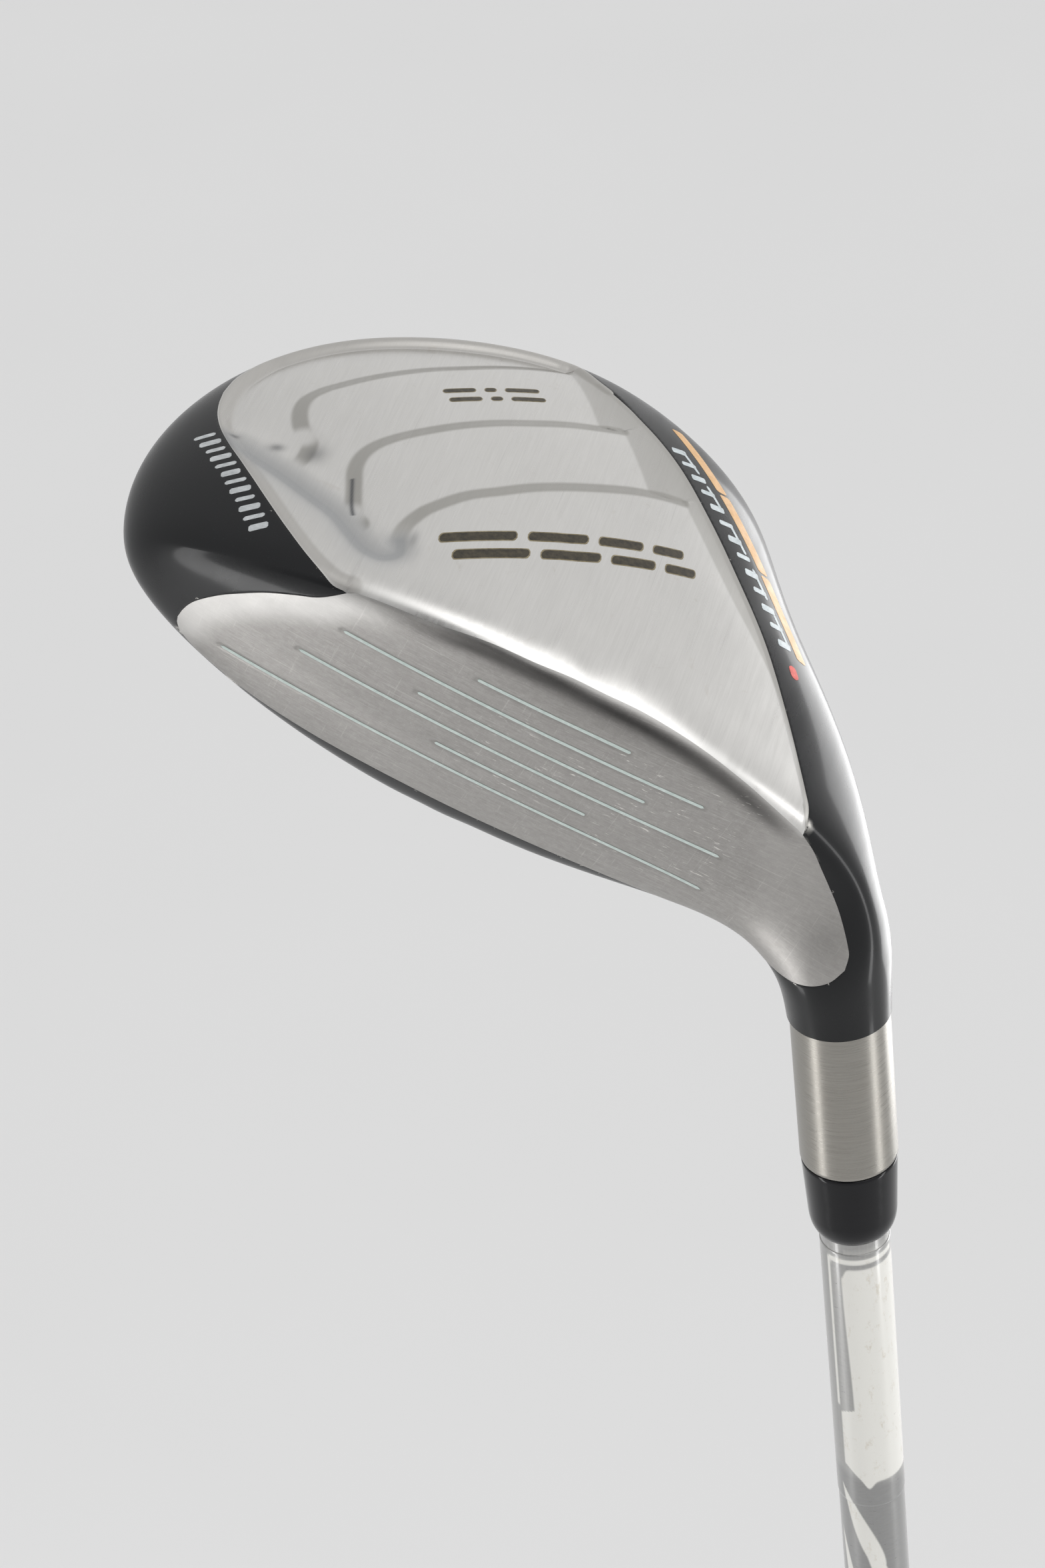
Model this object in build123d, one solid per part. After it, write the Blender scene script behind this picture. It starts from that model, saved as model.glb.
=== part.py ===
from build123d import *
import os
import math
import numpy as np

# Hybrid golf club, left-handed, 18 degree loft class, graphite shaft.
# Part frame: origin at the centre of the butt face of the grip, +Z along the
# shaft axis from the butt to the head, -Y the way the face looks, -X towards the toe.
# The head is laid out in its address frame (x heel to toe, y face to back, z up,
# sole on z = 0) and moved onto the shaft axis at the end.

# ---------------------------------------------------------------- driving sizes (mm, degrees)
CLUB_LENGTH = 1041.0        # butt to the ground point of the shaft axis
LIE = 60.0                  # shaft axis to ground
LOFT = 17.0                 # face plane at the face centre
BULGE_R = 283.0             # face radius, heel to toe
ROLL_R = 283.0              # face radius, sole to crown
LEAD_Z = 3.64               # height of the leading edge datum
ROLL_MID = 18.6             # height of the face centre above the leading edge datum
SHAFT_X = -32.8             # where the shaft axis meets the ground plane
SHAFT_Y = 12.4
SOLE_MID_X, SOLE_MID_Y = -3.5, 32.4
SOLE_R_X, SOLE_R_Y = 77.3, 116.0
CROWN_TOP = 38.8
CROWN_X, CROWN_Y = -0.8, 14.0
CROWN_R_X, CROWN_R_Y, CROWN_DROP = 95.3, 72.4, 0.099
PLAN_X, PLAN_Y = 4.0, 26.0  # pole of the plan outline
PLAN_R = [50.2, 50.0, 43.2, 40.9, 38.7, 36.8, 46.9, 57.5, 35.2, 45.0, 45.8, 44.1]
EDGE_K = 4.88               # softness of the body edges
FACE_K = 1.4                # softness of the leading edge and topline
NECK_K = 5.8                # softness of the neck blend
HOSEL_R = 5.95
HOSEL_START = 34.3          # along the shaft axis from the ground point
HOSEL_K = 2.0               # softness of the buried end of the hosel
RING_S = 43.5               # painted neck ends, bare hosel begins
HOSEL_END = 65.7
WALL = 1.7                  # cast wall
BORE_R = 4.40
BORE_BOTTOM = 35.5
PLUG_T = 1.5
TIP_R = 4.25                # 8.5 mm shaft tip
BUTT_R = 7.60               # 15.2 mm shaft butt
TIP_PARALLEL = 150.0
BUTT_PARALLEL = 150.0
TIP_BORE_R, BUTT_BORE_R = 2.60, 6.50
FERRULE_LEN = 11.3
FERRULE_R0, FERRULE_R1, FERRULE_R2 = 5.85, 5.45, 4.65
GRIP_LEN = 268.0
CAP_T = 4.0                 # thickness of the moulded end cap
CAP_R = 13.6
VENT_R = 1.10               # vent hole in the cap
TAPE_T = 0.20
GRIP_MOUTH_R = 8.9
LINE_Z0, LINE_STEP = 10.85, 3.40   # height of the lowest score line, and the pitch in height
LINE_W, LINE_DEPTH = 0.85, 0.45
LINE_SPANS = [(-16.6, 2.1), (-27.0, 17.5), (-21.1, 7.1), (-31.8, 20.9), (-16.3, 2.6), (-32.3, 28.9)]

R_ = math.radians


# ---------------------------------------------------------------- head form
def soft_max(fs, k):
    fs = np.stack(fs)
    m = fs.max(0)
    return m + k * np.log(np.exp((fs - m) / k).sum(0))


AX = np.array([-math.cos(R_(LIE)), 0.0, math.sin(R_(LIE))])
S0 = np.array([SHAFT_X, SHAFT_Y, 0.0])


def plan_radius(th):
    # smooth periodic curve through the outline radii, one every 30 degrees
    n = len(PLAN_R)
    c = np.fft.rfft(PLAN_R)
    out = np.full(np.shape(th), c[0].real / n)
    for k in range(1, n // 2 + 1):
        w = 1.0 if k == n // 2 else 2.0
        out = out + w / n * (c[k].real * np.cos(k * th) - c[k].imag * np.sin(k * th))
    return out


def head_value(p):
    x, y, z = p[..., 0], p[..., 1], p[..., 2]
    yf = math.tan(R_(LOFT)) * (z - LEAD_Z) + x ** 2 / (2 * BULGE_R) + (z - ROLL_MID - LEAD_Z) ** 2 / (2 * ROLL_R)
    face = (yf - y) * math.cos(R_(LOFT))
    sole = (x - SOLE_MID_X) ** 2 / (2 * SOLE_R_X) + (y - SOLE_MID_Y) ** 2 / (2 * SOLE_R_Y) - z
    crown = z - (CROWN_TOP - (x - CROWN_X) ** 2 / (2 * CROWN_R_X) - CROWN_DROP * (y - CROWN_Y)
                 - (y - CROWN_Y) ** 2 / (2 * CROWN_R_Y))
    dx, dy = x - PLAN_X, y - PLAN_Y
    th = np.arctan2(dy, dx)
    r = plan_radius(th)
    dr = (plan_radius(th + 1e-3) - plan_radius(th - 1e-3)) / 2e-3
    skirt = (np.hypot(dx, dy) - r) / np.sqrt(1 + (dr / r) ** 2)
    body = soft_max([soft_max([sole, crown, skirt], EDGE_K), face], FACE_K)
    q = p - S0
    s = q @ AX
    d = np.linalg.norm(q - s[..., None] * AX, axis=-1)
    hosel = soft_max([d - HOSEL_R, HOSEL_START - s], HOSEL_K)
    return -soft_max([-body, -hosel], NECK_K)


def cast(c, dirs, level):
    # first crossing outwards from a point inside
    rs = np.linspace(0.05, 95.0, 160)
    pts = c + rs[:, None, None] * dirs[None]
    ins = head_value(pts) + level < 0
    k = np.maximum(np.argmax(~ins, axis=0), 1)
    lo, hi = rs[k - 1].copy(), rs[k].copy()
    for _ in range(24):
        mid = (lo + hi) / 2
        a = head_value(c + mid[:, None] * dirs) + level < 0
        lo, hi = np.where(a, mid, lo), np.where(a, hi, mid)
    return c + ((lo + hi) / 2)[:, None] * dirs


def section(c, u, v, level, n=40):
    u, v = np.array(u, float), np.array(v, float)
    a = np.linspace(0, 2 * math.pi, 240, endpoint=False)
    dirs = np.cos(a)[:, None] * u + np.sin(a)[:, None] * v
    for _ in range(3):
        pts = cast(c, dirs, level)
        uu, vv = (pts - c) @ u, (pts - c) @ v
        u2, v2 = np.roll(uu, -1), np.roll(vv, -1)
        cr = uu * v2 - u2 * vv
        A = cr.sum() / 2
        c = c + ((uu + u2) * cr).sum() / (6 * A) * u + ((vv + v2) * cr).sum() / (6 * A) * v
    a = np.linspace(0, 2 * math.pi, 720, endpoint=False) + R_(-140)
    dirs = np.cos(a)[:, None] * u + np.sin(a)[:, None] * v
    pts = cast(c, dirs, level)
    seg = np.linalg.norm(np.roll(pts, -1, axis=0) - pts, axis=1)
    t = np.roll(pts, -1, axis=0) - np.roll(pts, 1, axis=0)
    t /= np.linalg.norm(t, axis=1)[:, None]
    turn = np.arccos(np.clip((np.roll(t, -1, axis=0) * t).sum(1), -1, 1))
    w = seg / seg.sum() + 0.9 * turn / turn.sum()
    w = np.convolve(np.r_[w[-12:], w, w[:12]], np.ones(25) / 25, "valid")
    cum = np.r_[0, np.cumsum(w)]
    cum /= cum[-1]
    k = np.interp(np.arange(n) / n, cum, np.arange(721))
    i = np.floor(k).astype(int)
    f = (k - i)[:, None]
    ext = np.vstack([pts, pts[:1]])
    return ext[i] * (1 - f) + ext[np.minimum(i + 1, 720)] * f, c


def toe_tip(level):
    c = np.array([10.0, 24.0, 19.0])
    best = None
    span = 1.0
    d0 = np.array([1.0, 0.1, 0.0])
    for _ in range(7):
        g = np.linspace(-span, span, 21)
        dd = np.stack(np.meshgrid(g, g), -1).reshape(-1, 2)
        dirs = np.stack([np.ones(len(dd)), d0[1] + dd[:, 0], d0[2] + dd[:, 1]], -1)
        dirs /= np.linalg.norm(dirs, axis=1)[:, None]
        pts = cast(c, dirs, level)
        j = pts[:, 0].argmax()
        best = pts[j]
        d0 = dirs[j] / dirs[j][0]
        span *= 0.35
    return best


HEEL_X = -18.0
PIVOT_S = 39.0


def head_loft(level, end_angle=None):
    tip = toe_tip(level)
    rings = []
    c = tip.copy()
    for dx in (0.10, 0.45, 1.1, 2.2, 3.9, 6.3, 9.5, 14.0, 20.0, 27.0, 35.0, 43.0, 51.0, tip[0] - HEEL_X):
        x = tip[0] - dx
        c = np.array([x, c[1], c[2]])
        pts, c = section(c, (0, 1, 0), (0, 0, 1), level)
        rings.append(pts)
    e = np.array([math.sin(R_(LIE)), 0, math.cos(R_(LIE))])
    q = S0 + PIVOT_S * AX
    t = (HEEL_X - q[0]) / e[0]
    piv = np.array([HEEL_X, 0, q[2] + t * e[2]])
    rho = piv[2] - c[2]
    cy = c[1]
    last = end_angle if end_angle else LIE
    n = 11
    for i in range(1, n + 1):
        th = R_(last * i / n)
        v = np.array([math.sin(th), 0, math.cos(th)])
        g = piv - rho * v
        g[1] = cy
        pts, g2 = section(g, (0, 1, 0), v, level)
        cy, rho = g2[1], (piv - g2) @ v
        rings.append(pts)
    if not end_angle:
        for s in (PIVOT_S + 2.2, RING_S):
            pts, _ = section(S0 + s * AX, (0, 1, 0), e, level)
            rings.append(pts)
    par = np.zeros(len(rings[0]) + 1)
    for pts in rings:
        seg = np.linalg.norm(np.roll(pts, -1, axis=0) - pts, axis=1)
        par += np.r_[0, np.cumsum(seg)] / seg.sum() / len(rings)
    par = [float(v) for v in par]
    wires = [Wire([Edge.make_spline([Vector(*p) for p in pts], periodic=True, parameters=par)]) for pts in rings]
    return Solid.make_loft(wires, ruled=False), tip



# ---------------------------------------------------------------- outlines on the head
# face outline seen along y (x, z): topline, toe end, leading edge, heel end
FACE_OUTLINE = [(33.9, 29.8), (30.6, 31.7), (27.7, 32.6), (21.2, 33.9), (12.3, 34.3), (3.6, 34.5), (-4.9, 34.6),
                (-13.4, 34.3), (-22.0, 33.6), (-30.0, 32.9), (-36.5, 32.4), (-41.0, 31.2), (-43.8, 28.4), (-44.6, 24.5),
                (-43.0, 18.6), (-38.2, 13.5), (-32.6, 10.0), (-27.6, 8.1), (-22.9, 6.8), (-14.3, 5.6), (-6.1, 5.1),
                (1.8, 5.2), (9.2, 6.6), (15.7, 8.8), (19.6, 10.6), (26.9, 15.1), (31.4, 19.7), (34.0, 23.8), (34.9, 27.0)]
# sole plate outline seen along z (x, y): toe edge, rear rim, heel edge, front
SOLE_TOE = [(19.1, 3.1), (21.6, 3.9), (24.8, 6.2), (28.2, 9.5), (31.5, 13.3), (34.4, 17.1), (38.0, 22.4), (40.4, 26.8),
            (41.5, 31.0), (41.7, 35.0), (41.2, 39.0)]
SOLE_HEEL = [(2.7, 54.7), (-2.3, 50.4), (-6.2, 46.9), (-9.8, 43.0), (-14.2, 37.4), (-19.3, 31.3), (-23.3, 26.8),
             (-28.6, 20.2), (-32.9, 13.9), (-35.6, 10.3), (-37.6, 7.2)]
SOLE_FRONT = [(-38.5, 2.0), (-30.0, -1.0), (0.0, -3.0), (16.0, -1.0)]


def rear_rim(a0, a1, inset, n=9):
    out = []
    for a in np.linspace(a0, a1, n):
        th = np.array(R_(a))
        r = float(plan_radius(th)) - inset
        out.append((PLAN_X + r * math.cos(R_(a)), PLAN_Y + r * math.sin(R_(a))))
    return out


def closed_face(pts, plane):
    w = Wire([Edge.make_spline([plane.from_local_coords((a, b, 0)) for a, b in pts], periodic=True)])
    return Face(w)


def poly_face(pts, plane):
    p3 = [plane.from_local_coords((a, b, 0)) for a, b in pts]
    return Face(Wire.make_polygon(p3, close=True))


XZ_FRONT = Plane(origin=(0, -12, 0), x_dir=(1, 0, 0), z_dir=(0, -1, 0))   # local (x, z)
XY_LOW = Plane(origin=(0, 0, -6), x_dir=(1, 0, 0), z_dir=(0, 0, 1))


def along_y(face, depth):
    return Solid.extrude(face, Vector(0, depth, 0))


def along_z(face, depth):
    return Solid.extrude(face, Vector(0, 0, depth))


def bar(x0, y0, x1, y1, w, slant=0.0):
    # slanted bar as a quadrilateral: centre line (x0,y0)-(x1,y1), width w
    d = np.array([x1 - x0, y1 - y0])
    d = d / np.linalg.norm(d)
    nrm = np.array([-d[1], d[0]]) * w / 2
    sh = d * slant
    a, b = np.array([x0, y0]), np.array([x1, y1])
    return [tuple(a + nrm), tuple(b + nrm), tuple(b - nrm + sh), tuple(a - nrm + sh)]


def ring_profile(points):
    # revolve a closed (radius, height) polygon about Z
    pts = [Vector(r, 0, z) for r, z in points]
    f = Face(Wire.make_polygon(pts, close=True))
    return Solid.revolve(f, 360, Axis.Z)


def as_list(shape):
    return list(shape.solids())


def one(shape):
    s = as_list(shape)
    s.sort(key=lambda a: -a.volume)
    if len(s) > 1 and sum(a.volume for a in s[1:]) > 1.0:
        print("  left over:", [round(a.volume, 1) for a in s[1:6]], [tuple(round(v, 1) for v in a.center()) for a in s[1:4]])
    return s[0]


# from the address frame of the head onto the shaft axis
E_ = np.array([math.sin(R_(LIE)), 0.0, math.cos(R_(LIE))])
D_ = -AX
M = np.stack([-E_, [0.0, 1.0, 0.0], D_])
org = M @ (-S0) + np.array([0, 0, CLUB_LENGTH])
to_club = Plane(origin=tuple(org), x_dir=tuple(M @ np.array([1.0, 0, 0])), z_dir=tuple(M @ np.array([0, 0, 1.0]))).location


def place(s):
    return s.moved(to_club)


def sound(solid):
    """True if the solid, in its place on the club, is still valid after it has been written and read back."""
    name = "parts/probe.step"
    export_step(place(solid), name)
    back = import_step(name).solids()
    os.remove(name)
    return len(back) == 1 and back[0].is_valid and abs(back[0].volume - solid.volume) < 0.01


NUDGES = [(0.0, 0.0), (0.06, 0.04), (-0.09, 0.06), (0.15, -0.12), (-0.22, -0.14), (0.32, 0.22), (-0.45, 0.35), (0.6, -0.5)]


def inlay(host, outline, plane, depth, floor):
    """Lets an outlined fill into host down to floor: (fill, host with the pocket). The outline is nudged until both are
    sound; a fill that stays unsound is left out, and the host is then left whole."""
    for j, (dx, dy) in enumerate(NUDGES):
        pts = [(a + dx, b + dy) for a, b in outline]
        tool = one(Solid.extrude(poly_face(pts, plane), Vector(*depth)) - floor)
        got, rest = one(host & tool), one(host - tool)
        if got.is_valid and rest.is_valid and sound(got):
            return got, rest
        print("  outline nudged", j)
    print("  fill left out")
    return None, host


def group(name, solids):
    return Compound(children=[s for s in solids], label=name) if len(solids) > 1 else solids[0]


os.makedirs("parts", exist_ok=True)
outer, tip = head_loft(0.0)
cavity, _ = head_loft(WALL, 30)
under, _ = head_loft(0.30)

# hosel tube in the address frame
hosel_pl = Plane(origin=tuple(S0 + (RING_S - 0.4) * AX), x_dir=(0, 1, 0), z_dir=tuple(AX))
hosel = Solid.make_cylinder(HOSEL_R, HOSEL_END - RING_S + 0.4, plane=hosel_pl)
hosel = hosel.chamfer(0.35, None, [hosel.edges().sort_by(Axis(origin=tuple(S0), direction=tuple(AX)))[-1]])
bore_pl = Plane(origin=tuple(S0 + BORE_BOTTOM * AX), x_dir=(0, 1, 0), z_dir=tuple(AX))
bore = Solid.make_cylinder(BORE_R, HOSEL_END - BORE_BOTTOM + 5, plane=bore_pl)
head = one((outer + hosel) - bore)
shell = one(head - cavity)
print("shell", shell.is_valid, round(shell.volume), "cavity", round(cavity.volume))

# face plate: the outlined front wall, cut off from the walls behind it by a sphere
face_c = np.array([0.0, math.tan(R_(LOFT)) * ROLL_MID, LEAD_Z + ROLL_MID])
n_in = np.array([0.0, math.cos(R_(LOFT)), -math.sin(R_(LOFT))])
SPH_R = 300.0
sph_c = face_c + SPH_R * n_in


def face_ball(depth):
    return Solid.make_sphere(SPH_R - depth).move(Location(tuple(sph_c)))


face_prism = along_y(closed_face([(x, -z) for x, z in FACE_OUTLINE], Plane(origin=(0, -12, 0), x_dir=(1, 0, 0), z_dir=(0, 1, 0))), 40)
face_tool = one(face_prism - face_ball(2.4))
face_plate = one(shell & face_tool)
shell = one(shell - face_tool)
print("face", face_plate.is_valid, round(face_plate.volume), "shell", shell.is_valid, round(shell.volume))

# sole plate
sole_pts = SOLE_TOE + rear_rim(26, 91, 7.5) + SOLE_HEEL + SOLE_FRONT
sole_prism = along_z(poly_face(sole_pts, XY_LOW), 21.5)
sole_plate = one(shell & sole_prism)
shell = one(shell - sole_prism)
print("sole", sole_plate.is_valid, round(sole_plate.volume), "shell", shell.is_valid, round(shell.volume))

# score lines: grooves in the face, each filled with paint
fills = []
for i, (xa, xb) in enumerate(LINE_SPANS):
    z = LINE_Z0 + i * LINE_STEP
    f = poly_face([(xa, z - LINE_W / 2), (xb, z - LINE_W / 2), (xb, z + LINE_W / 2), (xa, z + LINE_W / 2)],
                  Plane(origin=(0, -12, 0), x_dir=(1, 0, 0), z_dir=(0, -1, 0)))
    tool = one(along_y(f, 40) - face_ball(LINE_DEPTH))
    fills.append(one(face_plate & tool))
    face_plate = one(face_plate - tool)
print("lines", [round(s.volume, 2) for s in fills], face_plate.is_valid)

# engraved bars on the sole, filled dark
sole_fill = []
base = np.array([13.0, 12.6])
run = np.array([-28.3, 16.0])
run_u = run / np.linalg.norm(run)
side = np.array([run_u[1], -run_u[0]])
for k, (a, b, w) in enumerate([(0.0, 9.0, 1.5), (10.2, 17.6, 1.5), (18.8, 24.6, 1.5), (25.8, 30.0, 1.5)]):
    for off in (0.0, 2.6):
        p0 = base + run_u * (a + off * 0.35) - side * off
        p1 = base + run_u * (b + off * 0.35) - side * off
        got, sole_plate = inlay(sole_plate, bar(p0[0], p0[1], p1[0], p1[1], w, 0.5), XY_LOW, (0, 0, 18), under)
        sole_fill += [got] if got else []
print("sole marks", [(round(s.volume, 2), s.is_valid) for s in sole_fill], sole_plate.is_valid)

# painted marks on the toe skirt and the heel skirt, let into the body
toe_fill = []
for k in range(5):
    t = k / 4
    c = np.array([30.6 + 7.6 * t, 11.4 + 11.4 * t]) + np.array([1.9, -1.9])
    d = np.array([1.0, -0.55])
    got, shell = inlay(shell, bar(c[0] - d[0] * 0.9, c[1] - d[1] * 0.9, c[0] + d[0] * 0.9, c[1] + d[1] * 0.9, 0.95),
                       XY_LOW, (0, 0, 24), under)
    toe_fill += [got] if got else []
heel_fill = []
for k in range(5):
    t0, t1 = k / 5 + 0.02, (k + 0.72) / 5
    a = np.array([-9.6, 46.1]) + np.array([-19.2, -21.9]) * t0
    b = np.array([-9.6, 46.1]) + np.array([-19.2, -21.9]) * t1
    got, shell = inlay(shell, bar(a[0], a[1], b[0], b[1], 1.0, 0.5), XY_LOW, (0, 0, 18), under)
    heel_fill += [got] if got else []
print("marks", [(round(s.volume, 2), s.is_valid) for s in toe_fill + heel_fill], shell.is_valid)

# inside the cavity: weight pad on the sole, hot melt at the toe
pad_box = Box(26, 18, 12, align=(Align.CENTER, Align.CENTER, Align.MIN)).moved(Location((4, 47, -4)))
weight = one(cavity & pad_box)
melt_box = Box(10, 16, 14, align=(Align.MIN, Align.CENTER, Align.MIN)).moved(Location((37, 20, 4)))
hot_melt = one(cavity & melt_box)
print("weight", round(weight.volume), "melt", round(hot_melt.volume))

# ---------------------------------------------------------------- onto the shaft axis

nodes = {}
nodes["head_body"] = place(shell)
nodes["face_plate"] = place(face_plate)
nodes["sole_plate"] = place(sole_plate)
nodes["sole_weight"] = place(weight)
nodes["hot_melt"] = place(hot_melt)
nodes["score_line_fill"] = group("score_line_fill", [place(s) for s in fills])
nodes["sole_mark_fill"] = group("sole_mark_fill", [place(s) for s in sole_fill])
nodes["toe_mark_fill"] = group("toe_mark_fill", [place(s) for s in toe_fill])
nodes["heel_mark_fill"] = group("heel_mark_fill", [place(s) for s in heel_fill])

# ---------------------------------------------------------------- shaft side, about the club axis
Z_HOSEL = CLUB_LENGTH - HOSEL_END          # open end of the hosel
Z_PLUG = CLUB_LENGTH - BORE_BOTTOM         # bottom of the hosel bore
Z_TIP = Z_PLUG - PLUG_T
Z_BUTT = CAP_T
Z_T1 = Z_TIP - TIP_PARALLEL
Z_T0 = Z_BUTT + BUTT_PARALLEL


def shaft_r(z):
    return BUTT_R + (TIP_R - BUTT_R) * min(max((z - Z_T0) / (Z_T1 - Z_T0), 0), 1)


def bore_r(z):
    return BUTT_BORE_R + (TIP_BORE_R - BUTT_BORE_R) * min(max((z - Z_T0) / (Z_T1 - Z_T0), 0), 1)


nodes["hosel_plug"] = Solid.make_cylinder(BORE_R, PLUG_T, plane=Plane(origin=(0, 0, Z_TIP)))
nodes["hosel_epoxy"] = ring_profile([(TIP_R, Z_HOSEL), (BORE_R, Z_HOSEL), (BORE_R, Z_TIP), (TIP_R, Z_TIP)])
nodes["shaft"] = ring_profile([(BUTT_BORE_R, Z_BUTT), (BUTT_R, Z_BUTT), (BUTT_R, Z_T0), (TIP_R, Z_T1), (TIP_R, Z_TIP),
                               (TIP_BORE_R, Z_TIP), (TIP_BORE_R, Z_T1), (BUTT_BORE_R, Z_T0)])
nodes["tip_weight"] = Solid.make_cylinder(TIP_BORE_R, 18.0, plane=Plane(origin=(0, 0, Z_TIP - 18.0)))

# ferrule: slim collar against the open end of the hosel, rounded down to the shaft
fz0, fz1 = Z_HOSEL, Z_HOSEL - FERRULE_LEN
with BuildPart() as fer:
    with BuildSketch(Plane.XZ):
        with BuildLine():
            Line((TIP_R, fz0), (FERRULE_R0, fz0))
            Line((FERRULE_R0, fz0), (FERRULE_R1, fz1 + 2.6))
            Spline((FERRULE_R1, fz1 + 2.6), (FERRULE_R1 - 0.28, fz1 + 0.9), (FERRULE_R2, fz1))
            Line((FERRULE_R2, fz1), (TIP_R, fz1))
            Line((TIP_R, fz1), (TIP_R, fz0))
        make_face()
    revolve(axis=Axis.Z)
nodes["ferrule"] = fer.part.solids()[0]

# printed sleeves on the shaft
LABEL_T = 0.10
za, zb = fz1 - 2.0, fz1 - 46.0
nodes["shaft_tip_label"] = ring_profile([(TIP_R, za), (TIP_R + LABEL_T, za), (TIP_R + LABEL_T, zb), (TIP_R, zb)])
za, zb = 420.0, 560.0
nodes["shaft_upper_label"] = ring_profile([(shaft_r(za), za), (shaft_r(za) + LABEL_T, za), (shaft_r(zb) + LABEL_T, zb), (shaft_r(zb), zb)])

# grip: tape, rubber sleeve, end cap with vent hole, painted rings near the mouth
g0, g1 = CAP_T, GRIP_LEN
t1 = GRIP_LEN - 4.0
nodes["grip_tape"] = ring_profile([(BUTT_R, g0), (BUTT_R + TAPE_T, g0), (BUTT_R + TAPE_T, Z_T0), (shaft_r(t1) + TAPE_T, t1),
                                   (shaft_r(t1), t1), (BUTT_R, Z_T0)])
with BuildPart() as grip:
    with BuildSketch(Plane.XZ):
        with BuildLine():
            Line((BUTT_R + TAPE_T, g0), (CAP_R - 0.4, g0))
            Spline((CAP_R - 0.4, g0), (12.95, 12), (12.45, 35), (11.7, 85), (10.85, 140), (9.9, 200), (9.15, 245), (GRIP_MOUTH_R, g1 - 4))
            Line((GRIP_MOUTH_R, g1 - 4), (GRIP_MOUTH_R - 0.7, g1))
            Line((GRIP_MOUTH_R - 0.7, g1), (shaft_r(g1), g1))
            Line((shaft_r(g1), g1), (shaft_r(t1), t1))
            Line((shaft_r(t1), t1), (shaft_r(t1) + TAPE_T, t1))
            Line((shaft_r(t1) + TAPE_T, t1), (BUTT_R + TAPE_T, Z_T0))
            Line((BUTT_R + TAPE_T, Z_T0), (BUTT_R + TAPE_T, g0))
        make_face()
    revolve(axis=Axis.Z)
sleeve = grip.part.solids()[0]
rings = []
for z in (252.0, 255.0):
    r_in = 8.72
    tool = ring_profile([(r_in, z), (20, z), (20, z + 1.2), (r_in, z + 1.2)])
    rings.append(one(sleeve & tool))
    sleeve = one(sleeve - tool)
nodes["grip_sleeve"] = sleeve
nodes["grip_ring_fill"] = group("grip_ring_fill", rings)

cap = Solid.make_cylinder(CAP_R, CAP_T)
cap = cap.fillet(1.6, [cap.edges().sort_by(Axis.Z)[0]])
cap = one(cap - Solid.make_cylinder(VENT_R, CAP_T + 2, plane=Plane(origin=(0, 0, -1))))
nodes["grip_cap"] = cap

os.makedirs("parts", exist_ok=True)
for name, shape in nodes.items():
    export_step(shape, "parts/%s.step" % name)
    bb = shape.bounding_box()
    print("%-18s vol %9.1f  z %.1f..%.1f" % (name, shape.volume, bb.min.Z, bb.max.Z))
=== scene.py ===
import bpy, math
import numpy as np
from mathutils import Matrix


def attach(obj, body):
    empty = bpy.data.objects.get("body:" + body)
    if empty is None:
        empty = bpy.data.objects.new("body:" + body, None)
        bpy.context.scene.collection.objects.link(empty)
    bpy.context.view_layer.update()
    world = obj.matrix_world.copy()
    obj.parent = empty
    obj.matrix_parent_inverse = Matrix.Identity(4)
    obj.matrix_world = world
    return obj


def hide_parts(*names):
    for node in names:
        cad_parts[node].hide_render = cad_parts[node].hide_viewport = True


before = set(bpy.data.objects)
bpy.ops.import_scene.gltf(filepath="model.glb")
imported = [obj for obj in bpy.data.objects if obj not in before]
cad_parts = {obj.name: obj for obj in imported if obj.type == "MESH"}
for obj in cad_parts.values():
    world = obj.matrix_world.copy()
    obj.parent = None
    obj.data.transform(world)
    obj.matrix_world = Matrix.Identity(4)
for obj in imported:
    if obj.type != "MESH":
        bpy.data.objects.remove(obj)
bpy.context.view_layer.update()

R_ = math.radians
# ------------------------------------------------------------ head form, in the address frame (mm)
LIE, LOFT = 60.0, 17.0
BULGE_R = ROLL_R = 283.0
LEAD_Z, ROLL_MID = 3.64, 18.6
AX = np.array([-math.cos(R_(LIE)), 0.0, math.sin(R_(LIE))])
S0 = np.array([-32.8, 12.4, 0.0])
PLAN_X, PLAN_Y = 4.0, 26.0
PLAN_R = [50.2, 50.0, 43.2, 40.9, 38.7, 36.8, 46.9, 57.5, 35.2, 45.0, 45.8, 44.1]
RING_S, HOSEL_END, HOSEL_R = 43.5, 65.7, 5.95
CLUB = 1041.0
E_ = np.array([math.sin(R_(LIE)), 0.0, math.cos(R_(LIE))])
M = np.stack([-E_, [0.0, 1.0, 0.0], -AX])


def to_row(p):
    return ((np.asarray(p, float) - S0) @ M.T + np.array([0, 0, CLUB])) / 1000.0


def soft_max(fs, k):
    fs = np.stack(fs)
    m = fs.max(0)
    return m + k * np.log(np.exp((fs - m) / k).sum(0))


TH_TAB = np.linspace(-math.pi, math.pi, 1441)


def plan_raw(th):
    n = len(PLAN_R)
    c = np.fft.rfft(PLAN_R)
    out = np.full(np.shape(th), c[0].real / n)
    for k in range(1, n // 2 + 1):
        w = 1.0 if k == n // 2 else 2.0
        out = out + w / n * (c[k].real * np.cos(k * th) - c[k].imag * np.sin(k * th))
    return out


PR_TAB = plan_raw(TH_TAB)
PD_TAB = (plan_raw(TH_TAB + 1e-3) - plan_raw(TH_TAB - 1e-3)) / 2e-3


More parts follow.
